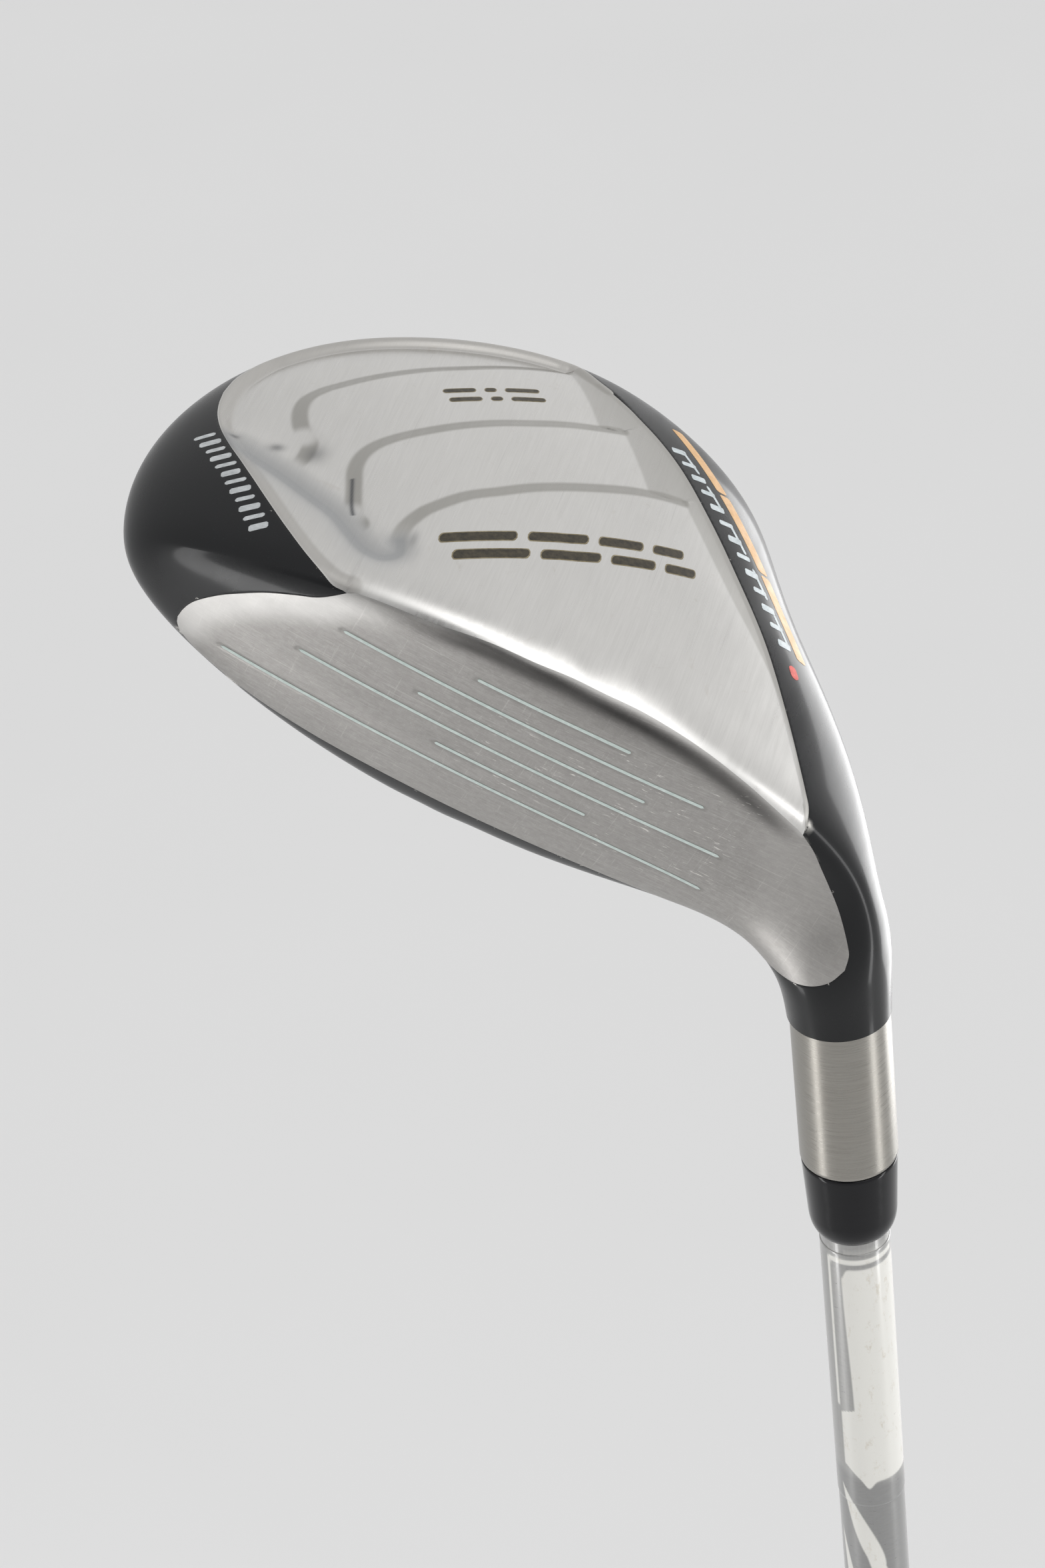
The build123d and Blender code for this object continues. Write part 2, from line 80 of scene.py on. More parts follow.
def head_value(p):
    x, y, z = p[..., 0], p[..., 1], p[..., 2]
    yf = math.tan(R_(LOFT)) * (z - LEAD_Z) + x ** 2 / (2 * BULGE_R) + (z - ROLL_MID - LEAD_Z) ** 2 / (2 * ROLL_R)
    face = (yf - y) * math.cos(R_(LOFT))
    sole = (x + 3.5) ** 2 / (2 * 77.3) + (y - 32.4) ** 2 / (2 * 116.0) - z
    crown = z - (38.8 - (x + 0.8) ** 2 / (2 * 95.3) - 0.099 * (y - 14.0) - (y - 14.0) ** 2 / (2 * 72.4))
    dx, dy = x - PLAN_X, y - PLAN_Y
    th = np.arctan2(dy, dx)
    r = np.interp(th, TH_TAB, PR_TAB)
    dr = np.interp(th, TH_TAB, PD_TAB)
    skirt = (np.hypot(dx, dy) - r) / np.sqrt(1 + (dr / r) ** 2)
    body = soft_max([soft_max([sole, crown, skirt], 4.88), face], 1.4)
    q = p - S0
    s = q @ AX
    d = np.linalg.norm(q - s[..., None] * AX, axis=-1)
    hosel = soft_max([d - HOSEL_R, 30.8 - s], 4.0)
    return -soft_max([-body, -hosel], 5.8)


def gradient(p):
    g = np.zeros_like(p)
    for k in range(3):
        e = np.zeros(3)
        e[k] = 0.01
        g[:, k] = head_value(p + e) - head_value(p - e)
    return g / np.linalg.norm(g, axis=1)[:, None]


def bisect(org, d, lo, hi, outside_first, steps=18):
    for _ in range(steps):
        mid = (lo + hi) / 2
        ins = head_value(org + mid[:, None] * d) < 0
        if outside_first:
            hi, lo = np.where(ins, mid, hi), np.where(ins, lo, mid)
        else:
            lo, hi = np.where(ins, mid, lo), np.where(ins, hi, mid)
    return (lo + hi) / 2


def march(org, d, rs, outside_first):
    # first change of sign along each ray, then bisection; in blocks to keep memory low
    out = np.zeros(len(org))
    for a in range(0, len(org), 20000):
        o, dd = org[a:a + 20000], d[a:a + 20000]
        f = head_value(o[None] + rs[:, None, None] * dd[None]) < 0
        hit = f if outside_first else ~f
        k = np.maximum(np.argmax(hit, axis=0), 1)
        out[a:a + 20000] = bisect(o, dd, rs[k - 1].copy(), rs[k].copy(), outside_first)
    return out


def cast(c, dirs):
    t = march(c, dirs, np.linspace(0.02, 75.0, 60), False)
    return c + t[:, None] * dirs


def solve_z(x, y):
    org = np.stack([x, y, np.full(len(x), -9.0)], -1)
    t = march(org, np.tile([0.0, 0.0, 1.0], (len(x), 1)), np.linspace(0, 32, 44), True)
    return t - 9.0


def solve_y(x, z):
    org = np.stack([x, np.full(len(x), -9.0), z], -1)
    t = march(org, np.tile([0.0, 1.0, 0.0], (len(x), 1)), np.linspace(0, 30, 44), True)
    return t - 9.0


def sstep(a, b, t):
    t = np.clip((t - a) / (b - a), 0, 1)
    return t * t * (3 - 2 * t)


def smooth_line(pts, n=None, closed=False):
    # centripetal-like Catmull-Rom resampling of a polyline
    p = np.array(pts, float)
    if closed:
        ext = np.vstack([p[-1], p, p[:2]])
    else:
        ext = np.vstack([2 * p[0] - p[1], p, 2 * p[-1] - p[-2]])
    out = []
    for i in range(1, len(ext) - 2):
        p0, p1, p2, p3 = ext[i - 1], ext[i], ext[i + 1], ext[i + 2]
        t = np.linspace(0, 1, 8, endpoint=False)[:, None]
        out.append(0.5 * (2 * p1 + (p2 - p0) * t + (2 * p0 - 5 * p1 + 4 * p2 - p3) * t ** 2
                          + (3 * p1 - p0 - 3 * p2 + p3) * t ** 3))
    if not closed:
        out.append(p[-1:])
    return np.vstack(out)


def line_dist(P, L, closed=False):
    a = L
    b = np.roll(L, -1, axis=0) if closed else L[1:]
    a = a if closed else L[:-1]
    out = np.full(len(P), 1e9)
    ab = b - a
    ll = (ab ** 2).sum(1) + 1e-12
    for k in range(0, len(P), 8000):
        p = P[k:k + 8000, None]
        t = np.clip(((p - a) * ab).sum(-1) / ll, 0, 1)
        out[k:k + 8000] = np.sqrt((((a + t[..., None] * ab) - p) ** 2).sum(-1)).min(1)
    return out


def inside(P, poly):
    x, y = P[:, 0], P[:, 1]
    res = np.zeros(len(P), bool)
    n = len(poly)
    for i in range(n):
        x0, y0 = poly[i]
        x1, y1 = poly[(i + 1) % n]
        if y0 == y1:
            continue
        c = (y0 > y) != (y1 > y)
        res ^= c & (x < (x1 - x0) * (y - y0) / (y1 - y0) + x0)
    return res


# ------------------------------------------------------------ outlines on the head (mm)
LEAD = [(-38.2, 5.9), (-36.0, 5.5), (-32.6, 5.0), (-27.6, 4.5), (-22.9, 4.2), (-18.5, 4.0), (-14.3, 3.9), (-10.1, 3.5),
        (-6.1, 2.9), (-2.1, 2.5), (1.8, 2.2), (5.5, 2.05), (9.2, 2.1), (12.9, 2.3), (15.7, 2.6), (19.1, 3.1)]
SOLE_TOE = [(19.1, 3.1), (21.6, 3.8), (24.8, 6.0), (28.2, 9.4), (31.5, 13.3), (34.4, 17.1), (36.2, 19.6), (38.0, 22.2),
            (39.7, 25.2), (40.9, 28.3), (41.5, 31.3), (41.7, 34.2)]
SOLE_HEEL = [(-38.2, 5.9), (-37.4, 7.9), (-36.4, 9.2), (-34.7, 11.5), (-32.9, 13.9), (-30.2, 17.5), (-28.4, 20.0),
             (-25.9, 23.4), (-23.3, 26.6), (-19.3, 31.3), (-14.2, 37.5), (-9.8, 43.0), (-6.2, 46.8), (-2.3, 50.4), (2.7, 54.7)]
rim = []
for a_ in np.linspace(R_(91), R_(26), 16):
    rr = float(plan_raw(np.array(a_))) - 7.6 - 3.6 * (R_(91) - a_) / R_(65)
    rim.append((PLAN_X + rr * math.cos(a_), PLAN_Y + rr * math.sin(a_)))
# the leading edge lies where the form is still met from straight below
lx = np.linspace(-38.2, 19.1, 70)
gx_, gz_ = np.meshgrid(lx, np.linspace(2.0, 20.0, 46), indexing="ij")
fy = solve_y(gx_.ravel(), gz_.ravel()).reshape(gx_.shape)
fy = np.where(fy < -8.0, 99.0, fy)
ymin = fy.min(1)
ymin = np.maximum.reduce([np.r_[ymin[0], ymin[:-1]], ymin, np.r_[ymin[1:], ymin[-1]]])
LP = np.array(LEAD)
ly = np.maximum(np.interp(lx, LP[:, 0], LP[:, 1]), ymin + 0.06)
for _ in range(4):
    ly[1:-1] = np.convolve(ly, [0.25, 0.5, 0.25], "valid")
ly = np.maximum(ly, ymin + 0.05)
for _ in range(12):
    miss = solve_z(lx, ly) < -8.0
    ly = ly + 0.08 * np.maximum.reduce([miss, np.r_[miss[1:], False], np.r_[False, miss[:-1]]])
HEEL_END, TOE_END = (lx[0], float(ly[0])), (lx[-1], float(ly[-1]))
print("lead", [round(float(v), 2) for v in ly[::6]], "list", [round(float(v), 2) for v in np.interp(lx, LP[:, 0], LP[:, 1])[::6]])
SOLE_BACK = [HEEL_END] + SOLE_HEEL[1:-1] + [(0.3, 53.3), (3.0, 55.6)] + [q for q in rim if 5.5 < q[0] < 40.5 and q[1] > 39] + [(41.2, 38.4), (41.7, 34.2)]
sole_front = np.vstack([np.stack([lx, ly], -1)[:-1], smooth_line([TOE_END] + SOLE_TOE[1:])])
sole_back = smooth_line(SOLE_BACK)
sole_front = sole_front[np.argsort(sole_front[:, 0], kind="stable")]
sole_back = sole_back[np.argsort(sole_back[:, 0], kind="stable")]
sole_poly = np.vstack([sole_front, sole_back[::-1]])

lead_x, lead_y = lx, ly
lead_z = solve_z(lead_x, lead_y)
print("lead z", [round(float(v), 2) for v in lead_z[::6]])
FACE_TOE_LOW = [(21.6, 11.4), (24.0, 13.0), (26.9, 15.1), (29.4, 17.5), (31.4, 19.7), (33.2, 22.3), (34.1, 24.2), (34.6, 26.4), (34.65, 27.3)]
FACE_HEEL_LOW = [(-50.95, 27.1), (-50.5, 25.3), (-49.7, 24.1), (-48.2, 22.3), (-46.4, 20.3), (-44.2, 18.2), (-42.2, 16.5), (-40.3, 14.9)]
FACE_HIGH = [(-50.95, 27.1), (-50.3, 29.2), (-49.2, 30.7), (-48.0, 31.7), (-46.5, 32.5), (-44.0, 33.1), (-40.0, 33.4),
             (-36.0, 33.5), (-30.0, 33.6), (-22.0, 33.9), (-13.4, 34.3), (-4.9, 34.6), (3.6, 34.6), (12.3, 34.5), (16.7, 34.3),
             (21.2, 33.9), (24.8, 33.3), (27.7, 32.6), (30.6, 31.7), (32.4, 30.8), (33.8, 29.6), (34.5, 28.3), (34.65, 27.3)]
heel_low = np.array(FACE_HEEL_LOW)
heel_low[:, 1] += (lead_z[0] - 13.5) * sstep(-46.0, -38.2, heel_low[:, 0])
face_low = np.vstack([smooth_line(heel_low.tolist() + [(lead_x[0], lead_z[0])])[:-1], np.stack([lead_x, lead_z], -1),
                      smooth_line([(lead_x[-1], lead_z[-1])] + FACE_TOE_LOW)[1:]])
face_high = smooth_line(FACE_HIGH)
face_low = face_low[np.argsort(face_low[:, 0], kind="stable")]
face_high = face_high[np.argsort(face_high[:, 0], kind="stable")]
# the top edge stays on the front of the form, below its horizon
hx = np.linspace(-50.9, 34.6, 150)
gx_, gz_ = np.meshgrid(hx, np.linspace(24.0, 36.0, 61), indexing="ij")
hy = solve_y(gx_.ravel(), gz_.ravel()).reshape(gx_.shape)
okay = (hy > -8.0) & (hy < 12.1)
okay = np.cumprod(okay, axis=1).astype(bool)
ztop = np.where(okay, gz_, 0).max(1) - 0.25
ztop = np.minimum.reduce([np.r_[ztop[0], ztop[:-1]], ztop, np.r_[ztop[1:], ztop[-1]]])
ztop = np.maximum(ztop, 26.0)
face_high[:, 1] = np.minimum(face_high[:, 1], np.interp(face_high[:, 0], hx, ztop))
print("top", [round(float(v), 1) for v in ztop[::10]])
face_poly = np.vstack([face_low, face_high[::-1]])

# terraces of the sole: each boundary, front end first
S_CURVE = [(38.8, 23.6), (35.6, 21.1), (31.7, 18.2), (28.0, 15.4), (24.4, 12.9), (21.8, 10.4), (19.9, 8.8), (17.7, 8.1), (16.2, 9.2)]
T1 = [(16.7, 11.4), (16.6, 13.3), (15.8, 15.6), (14.8, 17.3), (12.0, 20.7), (8.8, 23.3), (5.6, 26.0), (2.2, 28.5), (-1.4, 31.0), (-5.1, 33.6), (-7.4, 35.0), (-9.8, 36.3), (-11.1, 36.9)]
FAC1 = [(-11.1, 36.9), (-13.6, 33.6), (-16.7, 29.9), (-20.5, 25.8), (-24.3, 22.4), (-28.2, 18.8), (-33.0, 12.9), (-36.4, 8.0)]
T2 = [(21.2, 11.9), (22.2, 13.4), (22.9, 15.1), (23.8, 18.3), (24.5, 21.2), (24.4, 23.8), (23.5, 26.1), (21.6, 28.5), (18.6, 31.3), (15.4, 34.0), (12.0, 36.5), (8.5, 38.8), (4.9, 41.3), (1.2, 43.6), (-1.6, 45.4)]
FAC2 = [(-1.6, 45.4), (-4.0, 40.8), (-6.9, 35.1)]
T3 = [(30.4, 24.6), (31.6, 26.6), (32.7, 29.2), (33.3, 32.0), (33.1, 34.4), (31.9, 36.6), (30.5, 38.1), (28.1, 40.5), (24.9, 43.3), (21.6, 45.9), (18.2, 48.3), (14.7, 51.1), (11.0, 53.9), (7.0, 57.0)]
FAC3 = [(7.0, 57.4), (4.2, 51.4), (1.2, 44.2)]
B1 = smooth_line(S_CURVE + T1)
B2 = smooth_line([(26.5, 5.0), (23.6, 9.4)] + T2)
B3 = smooth_line([(33.0, 16.0), (30.6, 20.5)] + T3)
FAR = [(-40.0, 60.0), (-20.0, 90.0), (60.0, 90.0), (70.0, 24.0)]
B1_poly = np.vstack([B1, [(-14.0, 42.0)], FAR])
B2_poly = np.vstack([B2, [(-6.0, 52.0)], FAR[1:], [(60.0, -10.0)]])
B3_poly = np.vstack([B3, [(2.0, 64.0)], FAR[1:], [(60.0, -4.0)]])
heel_line = smooth_line(SOLE_HEEL)
toe_line = smooth_line(SOLE_TOE)
rear_line = sole_back[sole_back[:, 0] > 1.0]
fac_zone = inside


def signed(P, line, poly):
    d = line_dist(P, line)
    return np.where(inside(P, poly), d, -d)


def sole_sink(x, y):
    """How far the sole sits inside the smooth form at (x, y), and the masks of its bevels; most masks paint shade on
    the bevels, rim, facets and valley, and glint paints a highlight at the leading edge.
    """
    P = np.stack([x, y], -1)
    s1, s2, s3 = signed(P, B1, B1_poly), signed(P, B2, B2_poly), signed(P, B3, B3_poly)
    curve = line_dist(P, smooth_line(S_CURVE))
    soft = np.exp(-((curve / 3.0) ** 2))
    w1 = 0.95 + 2.0 * soft
    w2 = 0.95 + 2.2 * np.exp(-(np.hypot(x - 21.6, y - 11.8) / 3.0) ** 2)
    w3 = 0.95 + 2.2 * np.exp(-(np.hypot(x - 31.0, y - 24.6) / 3.2) ** 2)
    h = 0.34 * (sstep(-w1, w1, s1) + sstep(-w2, w2, s2) * sstep(-0.5, 5.0, s1) + sstep(-w3, w3, s3) * sstep(-0.5, 7.0, s1))
    valley = 0.30 * np.exp(-((s1 / 1.5) ** 2)) * sstep(0.15, 0.7, soft)
    h = h + valley
    # facet towards the heel edge
    dh = line_dist(P, heel_line)
    facets = np.minimum(np.minimum(line_dist(P, smooth_line(FAC1)), line_dist(P, smooth_line(FAC2))), line_dist(P, smooth_line(FAC3)))
    zone_poly = np.array([(7.0, 57.4), (1.2, 44.2), (-1.6, 45.4), (-6.9, 35.1), (-11.1, 36.9)] + FAC1[1:] + [(-40, 4), (-50, 40), (-10, 70)])
    zone = inside(P, zone_poly)
    t = np.where(zone, dh / (dh + facets + 1e-6), 1.0)
    t = np.clip(t, 0, 1)
    h = h * t
    dt, dr = line_dist(P, toe_line), line_dist(P, rear_line)
    de = np.minimum(dt, dr)
    h = (h + 0.20) * sstep(0.15, 1.35, de) * sstep(0.1, 0.9, dh + 0.3)
    lead = np.where(x < 19.5, line_dist(P, np.stack([lead_x, lead_y], -1)), 9.0)
    h = h - 0.20 * (1 - sstep(1.0, 7.0, lead)) * sstep(0.15, 1.35, de)
    h = h * sstep(0.0, 1.2, lead)
    near = lambda s, w: 1 - sstep(0.55, 1.0, np.abs(s) / w)
    # painted shade: darker bands along the terrace bevels
    band = np.maximum(np.maximum(near(s1, 1.15) * (1 - soft), near(s2, 1.15) * sstep(0.6, 2.2, np.hypot(x - 22.6, y - 13.6))* sstep(1.0, 2.5, s1)),
                      near(s3, 1.15) * sstep(0.8, 2.6, np.hypot(x - 31.6, y - 26.0)) * sstep(2.0, 4.0, s1))
    glint = (1 - sstep(0.25, 1.25, lead)) * (1 - sstep(14.0, 20.0, x)) * sstep(-38.5, -34.0, x)
    # painted shade: darker band on the slope up to the toe and rear rim
    rimband = (1 - sstep(1.0, 1.5, de)) * sstep(0.0, 0.15, de)
    # painted shade: darker facet band along the heel edge
    facband = np.where(zone, sstep(0.0, 0.5, facets) * (1 - 0.3 * t), 0.0)
    # painted shade: darker colour in the S-curve valley
    valley_shade = np.clip(0.8 * np.exp(-(((s1 - 0.3) / 2.0) ** 2)) + 0.5 * np.exp(-(((s1 + 0.2) / 0.45) ** 2)), 0, 1) * sstep(0.15, 0.7, soft)
    # darker spots at the terrace corners and near the toe edge
    grime = np.exp(-((s2 - 0.2) / 0.22) ** 2) * (np.hypot(x - 23.2, y - 16.4) < 3.2) \
        + 0.7 * np.exp(-(np.hypot(x - 33.6, y - 23.4) / 0.8) ** 2) + 0.55 * np.exp(-(np.hypot((x - 29.3), (y - 22.8) * 0.7) / 1.2) ** 2) \
        + 0.8 * np.exp(-(np.hypot(x - 38.4, y - 24.8) / 0.45) ** 2) + 0.35 * np.exp(-(np.hypot((x - 15.2) * 1.6, (y - 11.6) * 0.7) / 0.8) ** 2)
    return h, dict(band=band, rimband=rimband, facband=facband, valley=valley_shade, grime=np.clip(grime, 0, 1), glint=glint, lead=np.clip(lead / 9.0, 0, 1))


def sole_point(x, y, lift=0.0, sunk=True):
    z = solve_z(x, y)
    p = np.stack([x, y, z], -1)
    n = gradient(p)
    h, m = sole_sink(x, y) if sunk else (np.zeros(len(x)), {})
    return p - n * (h - lift)[:, None], m


# ------------------------------------------------------------ mesh helpers
def grid_faces(nu, nv, wrap_u=False, wrap_v=False, off=0):
    i = np.arange(nu if wrap_u else nu - 1)
    j = np.arange(nv if wrap_v else nv - 1)
    I, J = np.meshgrid(i, j, indexing="ij")
    I2, J2 = (I + 1) % nu, (J + 1) % nv
    return (np.stack([I * nv + J, I2 * nv + J, I2 * nv + J2, I * nv + J2], -1).reshape(-1, 4)) + off


def make(name, verts, faces, mat, attrs=None, row=False, smooth=True, outward=None, sharp=None):
    """verts in mm, address frame unless row; outward: direction per vertex that face normals should agree with."""
    verts = np.asarray(verts, float)
    faces = [np.asarray(faces)] if isinstance(faces, np.ndarray) else faces
    P = verts / 1000.0 if row else to_row(verts)
    if outward is not None:
        W = np.asarray(outward, float)
        W = W if row else W @ M.T
        f = faces[0]
        n = np.cross(P[f[:, 2]] - P[f[:, 0]], P[f[:, 3] if f.shape[1] > 3 else f[:, 1]] - P[f[:, 1] if f.shape[1] > 3 else f[:, 0]])
        if f.shape[1] == 3:
            n = np.cross(P[f[:, 1]] - P[f[:, 0]], P[f[:, 2]] - P[f[:, 0]])
        if (n * W[f[:, 0]]).sum() < 0:
            faces = [q[:, ::-1] for q in faces]
    fl = [tuple(int(v) for v in r) for q in faces for r in q]
    me = bpy.data.meshes.new(name)
    me.from_pydata(P.tolist(), [], fl)
    me.validate()
    pa = me.attributes.new("pa", "FLOAT_VECTOR", "POINT")
    pa.data.foreach_set("vector", verts.astype(np.float32).ravel())
    for k, v in (attrs or {}).items():
        a = me.attributes.new(k, "FLOAT", "POINT")
        a.data.foreach_set("value", np.asarray(v, np.float32).ravel())
    me.polygons.foreach_set("use_smooth", [bool(smooth)] * len(me.polygons))
    me.materials.append(mat)
    ob = bpy.data.objects.new(name, me)
    bpy.context.scene.collection.objects.link(ob)
    me.update()
    return ob


def lathe(name, prof, mat, n=192, attrs=None, phase=0.0, shift=None):
    """prof: (radius, height) in mm about the club axis, row frame. shift(r, a, z) -> r."""
    prof = np.array(prof, float)
    a = np.linspace(0, 2 * math.pi, n, endpoint=False) + phase
    r = np.repeat(prof[:, 0][:, None], n, 1)
    z = np.repeat(prof[:, 1][:, None], n, 1)
    A = np.repeat(a[None], len(prof), 0)
    if shift is not None:
        r = shift(r, A, z)
    V = np.stack([r * np.cos(A), r * np.sin(A), z], -1).reshape(-1, 3)
    at = {k: f(A.ravel(), z.ravel(), r.ravel()) for k, f in (attrs or {}).items()}
    d = np.gradient(prof, axis=0)
    nr, nz = np.abs(d[:, 1]) + 1e-9, -d[:, 0] * np.sign(d[:, 1] + 1e-12)
    out = np.stack([np.cos(A) * nr[:, None], np.sin(A) * nr[:, None], np.repeat(nz[:, None], n, 1)], -1).reshape(-1, 3)
    return make(name, V, grid_faces(len(prof), n, wrap_v=True), mat, at, row=True, outward=out)


def dense(prof, step):
    prof = np.array(prof, float)
    out = []
    for p, q in zip(prof[:-1], prof[1:]):
        k = max(1, int(np.linalg.norm(q - p) / step))
        out += [p + (q - p) * t for t in np.arange(k) / k]
    out.append(prof[-1])
    return np.array(out)


# ------------------------------------------------------------ materials
class Mat:
    def __init__(self, name):
        self.m = bpy.data.materials.new(name)
        self.m.use_nodes = True
        self.t = self.m.node_tree
        self.t.nodes.clear()
        self.out = self.t.nodes.new("ShaderNodeOutputMaterial")
        self.b = self.bsdf()
        self.t.links.new(self.b.outputs[0], self.out.inputs[0])

    def bsdf(self, **kw):
        b = self.t.nodes.new("ShaderNodeBsdfPrincipled")
        self.set(b, **kw)
        return b

    def set(self, b, **kw):
        for k, v in kw.items():
            s = b.inputs[k.replace("_", " ")]
            if isinstance(v, bpy.types.NodeSocket):
                self.t.links.new(v, s)
            else:
                s.default_value = v if not isinstance(v, tuple) or len(v) != 3 else (*v, 1.0)

    def put(self, sock, v):
        if isinstance(v, bpy.types.NodeSocket):
            self.t.links.new(v, sock)
        else:
            sock.default_value = v

    def attr(self, name, kind="Fac"):
        n = self.t.nodes.new("ShaderNodeAttribute")
        n.attribute_name = name
        return n.outputs["Vector" if kind == "Vector" else "Fac"]

    def mapv(self, v, scale, rot=(0, 0, 0)):
        n = self.t.nodes.new("ShaderNodeMapping")
        self.put(n.inputs["Vector"], v)
        n.inputs["Scale"].default_value = scale
        n.inputs["Rotation"].default_value = rot
        return n.outputs[0]

    def noise(self, v, scale=1.0, detail=3.0, rough=0.5, dist=0.0):
        n = self.t.nodes.new("ShaderNodeTexNoise")
        self.put(n.inputs["Vector"], v)
        n.inputs["Scale"].default_value = scale
        n.inputs["Detail"].default_value = detail
        n.inputs["Roughness"].default_value = rough
        n.inputs["Distortion"].default_value = dist
        return n.outputs[0]

    def voronoi(self, v, scale=1.0, feature="F1", rnd=1.0):
        n = self.t.nodes.new("ShaderNodeTexVoronoi")
        n.feature = feature
        self.put(n.inputs["Vector"], v)
        n.inputs["Scale"].default_value = scale
        n.inputs["Randomness"].default_value = rnd
        return n.outputs["Distance"]

    def math(self, op, a, b=0.5, clamp=False):
        n = self.t.nodes.new("ShaderNodeMath")
        n.operation = op
        n.use_clamp = clamp
        self.put(n.inputs[0], a)
        self.put(n.inputs[1], b)
        return n.outputs[0]

    def range(self, v, a, b, c=0.0, d=1.0, smooth=False):
        n = self.t.nodes.new("ShaderNodeMapRange")
        n.interpolation_type = "SMOOTHSTEP" if smooth else "LINEAR"
        self.put(n.inputs["Value"], v)
        for k, x in (("From Min", a), ("From Max", b), ("To Min", c), ("To Max", d)):
            n.inputs[k].default_value = x
        return n.outputs[0]

    def mix(self, f, a, b, mode="MIX"):
        n = self.t.nodes.new("ShaderNodeMix")
        n.data_type = "RGBA"
        n.blend_type = mode
        n.clamp_factor = True
        self.put(n.inputs[0], f)
        self.put(n.inputs[6], a if isinstance(a, bpy.types.NodeSocket) else (*a, 1.0))
        self.put(n.inputs[7], b if isinstance(b, bpy.types.NodeSocket) else (*b, 1.0))
        return n.outputs[2]

    def bump(self, h, dist=0.00005, strength=1.0, normal=None):
        n = self.t.nodes.new("ShaderNodeBump")
        n.inputs["Strength"].default_value = strength
        n.inputs["Distance"].default_value = dist
        self.put(n.inputs["Height"], h)
        if normal is not None:
            self.put(n.inputs["Normal"], normal)
        return n.outputs[0]

    def mix_shader(self, f, a, b):
        n = self.t.nodes.new("ShaderNodeMixShader")
        self.put(n.inputs[0], f)
        self.t.links.new(a.outputs[0], n.inputs[1])
        self.t.links.new(b.outputs[0], n.inputs[2])
        self.t.links.new(n.outputs[0], self.out.inputs[0])
        return n


def paint_material():
    k = Mat("body_paint_finish")
    p = k.attr("pa", "Vector")
    big = k.noise(k.mapv(p, (0.05, 0.05, 0.05)), 1.0, 4)
    fine = k.noise(p, 2.2, 2)
    dust = k.range(k.noise(p, 3.4, 3, 0.7), 0.66, 0.72)
    smear = k.noise(k.mapv(p, (0.35, 0.08, 0.2)), 1.0, 5, 0.6)
    col = k.mix(big, (0.0060, 0.0064, 0.0072), (0.0095, 0.0101, 0.0114))
    col = k.mix(k.math("MULTIPLY", dust, 0.25), col, (0.05, 0.05, 0.05))
    k.set(k.b, Base_Color=col, Roughness=k.range(smear, 0.3, 0.75, 0.24, 0.36), Specular_IOR_Level=0.15, Coat_Weight=0.30,
          Coat_Roughness=0.10, Sheen_Weight=0.03, Sheen_Roughness=0.25, Normal=k.bump(fine, 0.000012, 0.35))
    steel = k.bsdf(Metallic=1.0, Roughness=0.32, Base_Color=k.mix(fine, (0.50, 0.49, 0.46), (0.72, 0.70, 0.66)))
    edge = k.attr("edge")
    chip = k.math("MULTIPLY", k.range(edge, 0.45, 0.95), k.range(k.noise(p, 1.15, 5, 0.72), 0.645, 0.675))
    spot = k.attr("chip")
    wear = k.math("MAXIMUM", chip, k.math("MULTIPLY", spot, k.range(k.noise(p, 1.6, 4, 0.75), 0.40, 0.47)), clamp=True)
    k.mix_shader(wear, k.b, steel)
    return k.m


def sole_material():
    k = Mat("sole_steel_finish")
    p = k.attr("pa", "Vector")
    brush = k.noise(k.mapv(p, (5.5, 0.16, 0.6)), 1.0, 4, 0.65)
    brush2 = k.noise(k.mapv(p, (1.3, 0.06, 0.3), (0, 0, 0.12)), 1.0, 3, 0.6)
    cloud = k.noise(k.mapv(p, (0.07, 0.07, 0.07)), 1.0, 4, 0.6)
    stain = k.range(k.noise(k.mapv(p, (0.35, 0.35, 0.35)), 1.0, 5, 0.7, 0.6), 0.62, 0.78)
    col = k.mix(cloud, (0.66, 0.65, 0.63), (0.76, 0.75, 0.73))
    col = k.mix(k.range(brush, 0.35, 0.65, 0.0, 0.22), col, (0.52, 0.51, 0.49))
    # painted shade along the terrace bevels
    col = k.mix(k.math("MULTIPLY", k.attr("band"), 0.80), col, (0.36, 0.35, 0.325))
    # painted shade along the toe and rear rim
    col = k.mix(k.math("MULTIPLY", k.attr("rimband"), 0.62), col, (0.43, 0.415, 0.39))
    # painted shade on the heel-edge facets
    col = k.mix(k.math("MULTIPLY", k.attr("facband"), 0.62), col, (0.36, 0.35, 0.325))
    # painted shade in the S-curve valley
    col = k.mix(k.math("MULTIPLY", k.attr("valley"), 0.74), col, (0.34, 0.35, 0.36))
    col = k.mix(k.math("MULTIPLY", k.attr("glint"), 0.45), col, (0.98, 0.97, 0.95))
    col = k.mix(k.math("MULTIPLY", stain, 0.22), col, (0.40, 0.34, 0.27))
    # darker spots at the terrace corners and near the toe edge
    col = k.mix(k.math("MULTIPLY", k.attr("grime"), 0.85), col, (0.07, 0.075, 0.085))
    hair = k.range(k.noise(k.mapv(p, (7.0, 0.05, 0.5), (0, 0, 0.22)), 1.0, 2, 0.5), 0.70, 0.74)
    col = k.mix(k.math("MULTIPLY", hair, 0.18), col, (0.34, 0.33, 0.32))
    rough = k.math("ADD", k.range(brush2, 0.3, 0.7, 0.25, 0.36), k.range(cloud, 0.35, 0.65, -0.03, 0.05))
    nb = k.bump(brush, 0.000006, 0.22)
    nb = k.bump(brush2, 0.000012, 0.12, nb)
    k.set(k.b, Base_Color=col, Metallic=1.0, Roughness=rough, Anisotropic=0.25, Normal=nb)
    return k.m


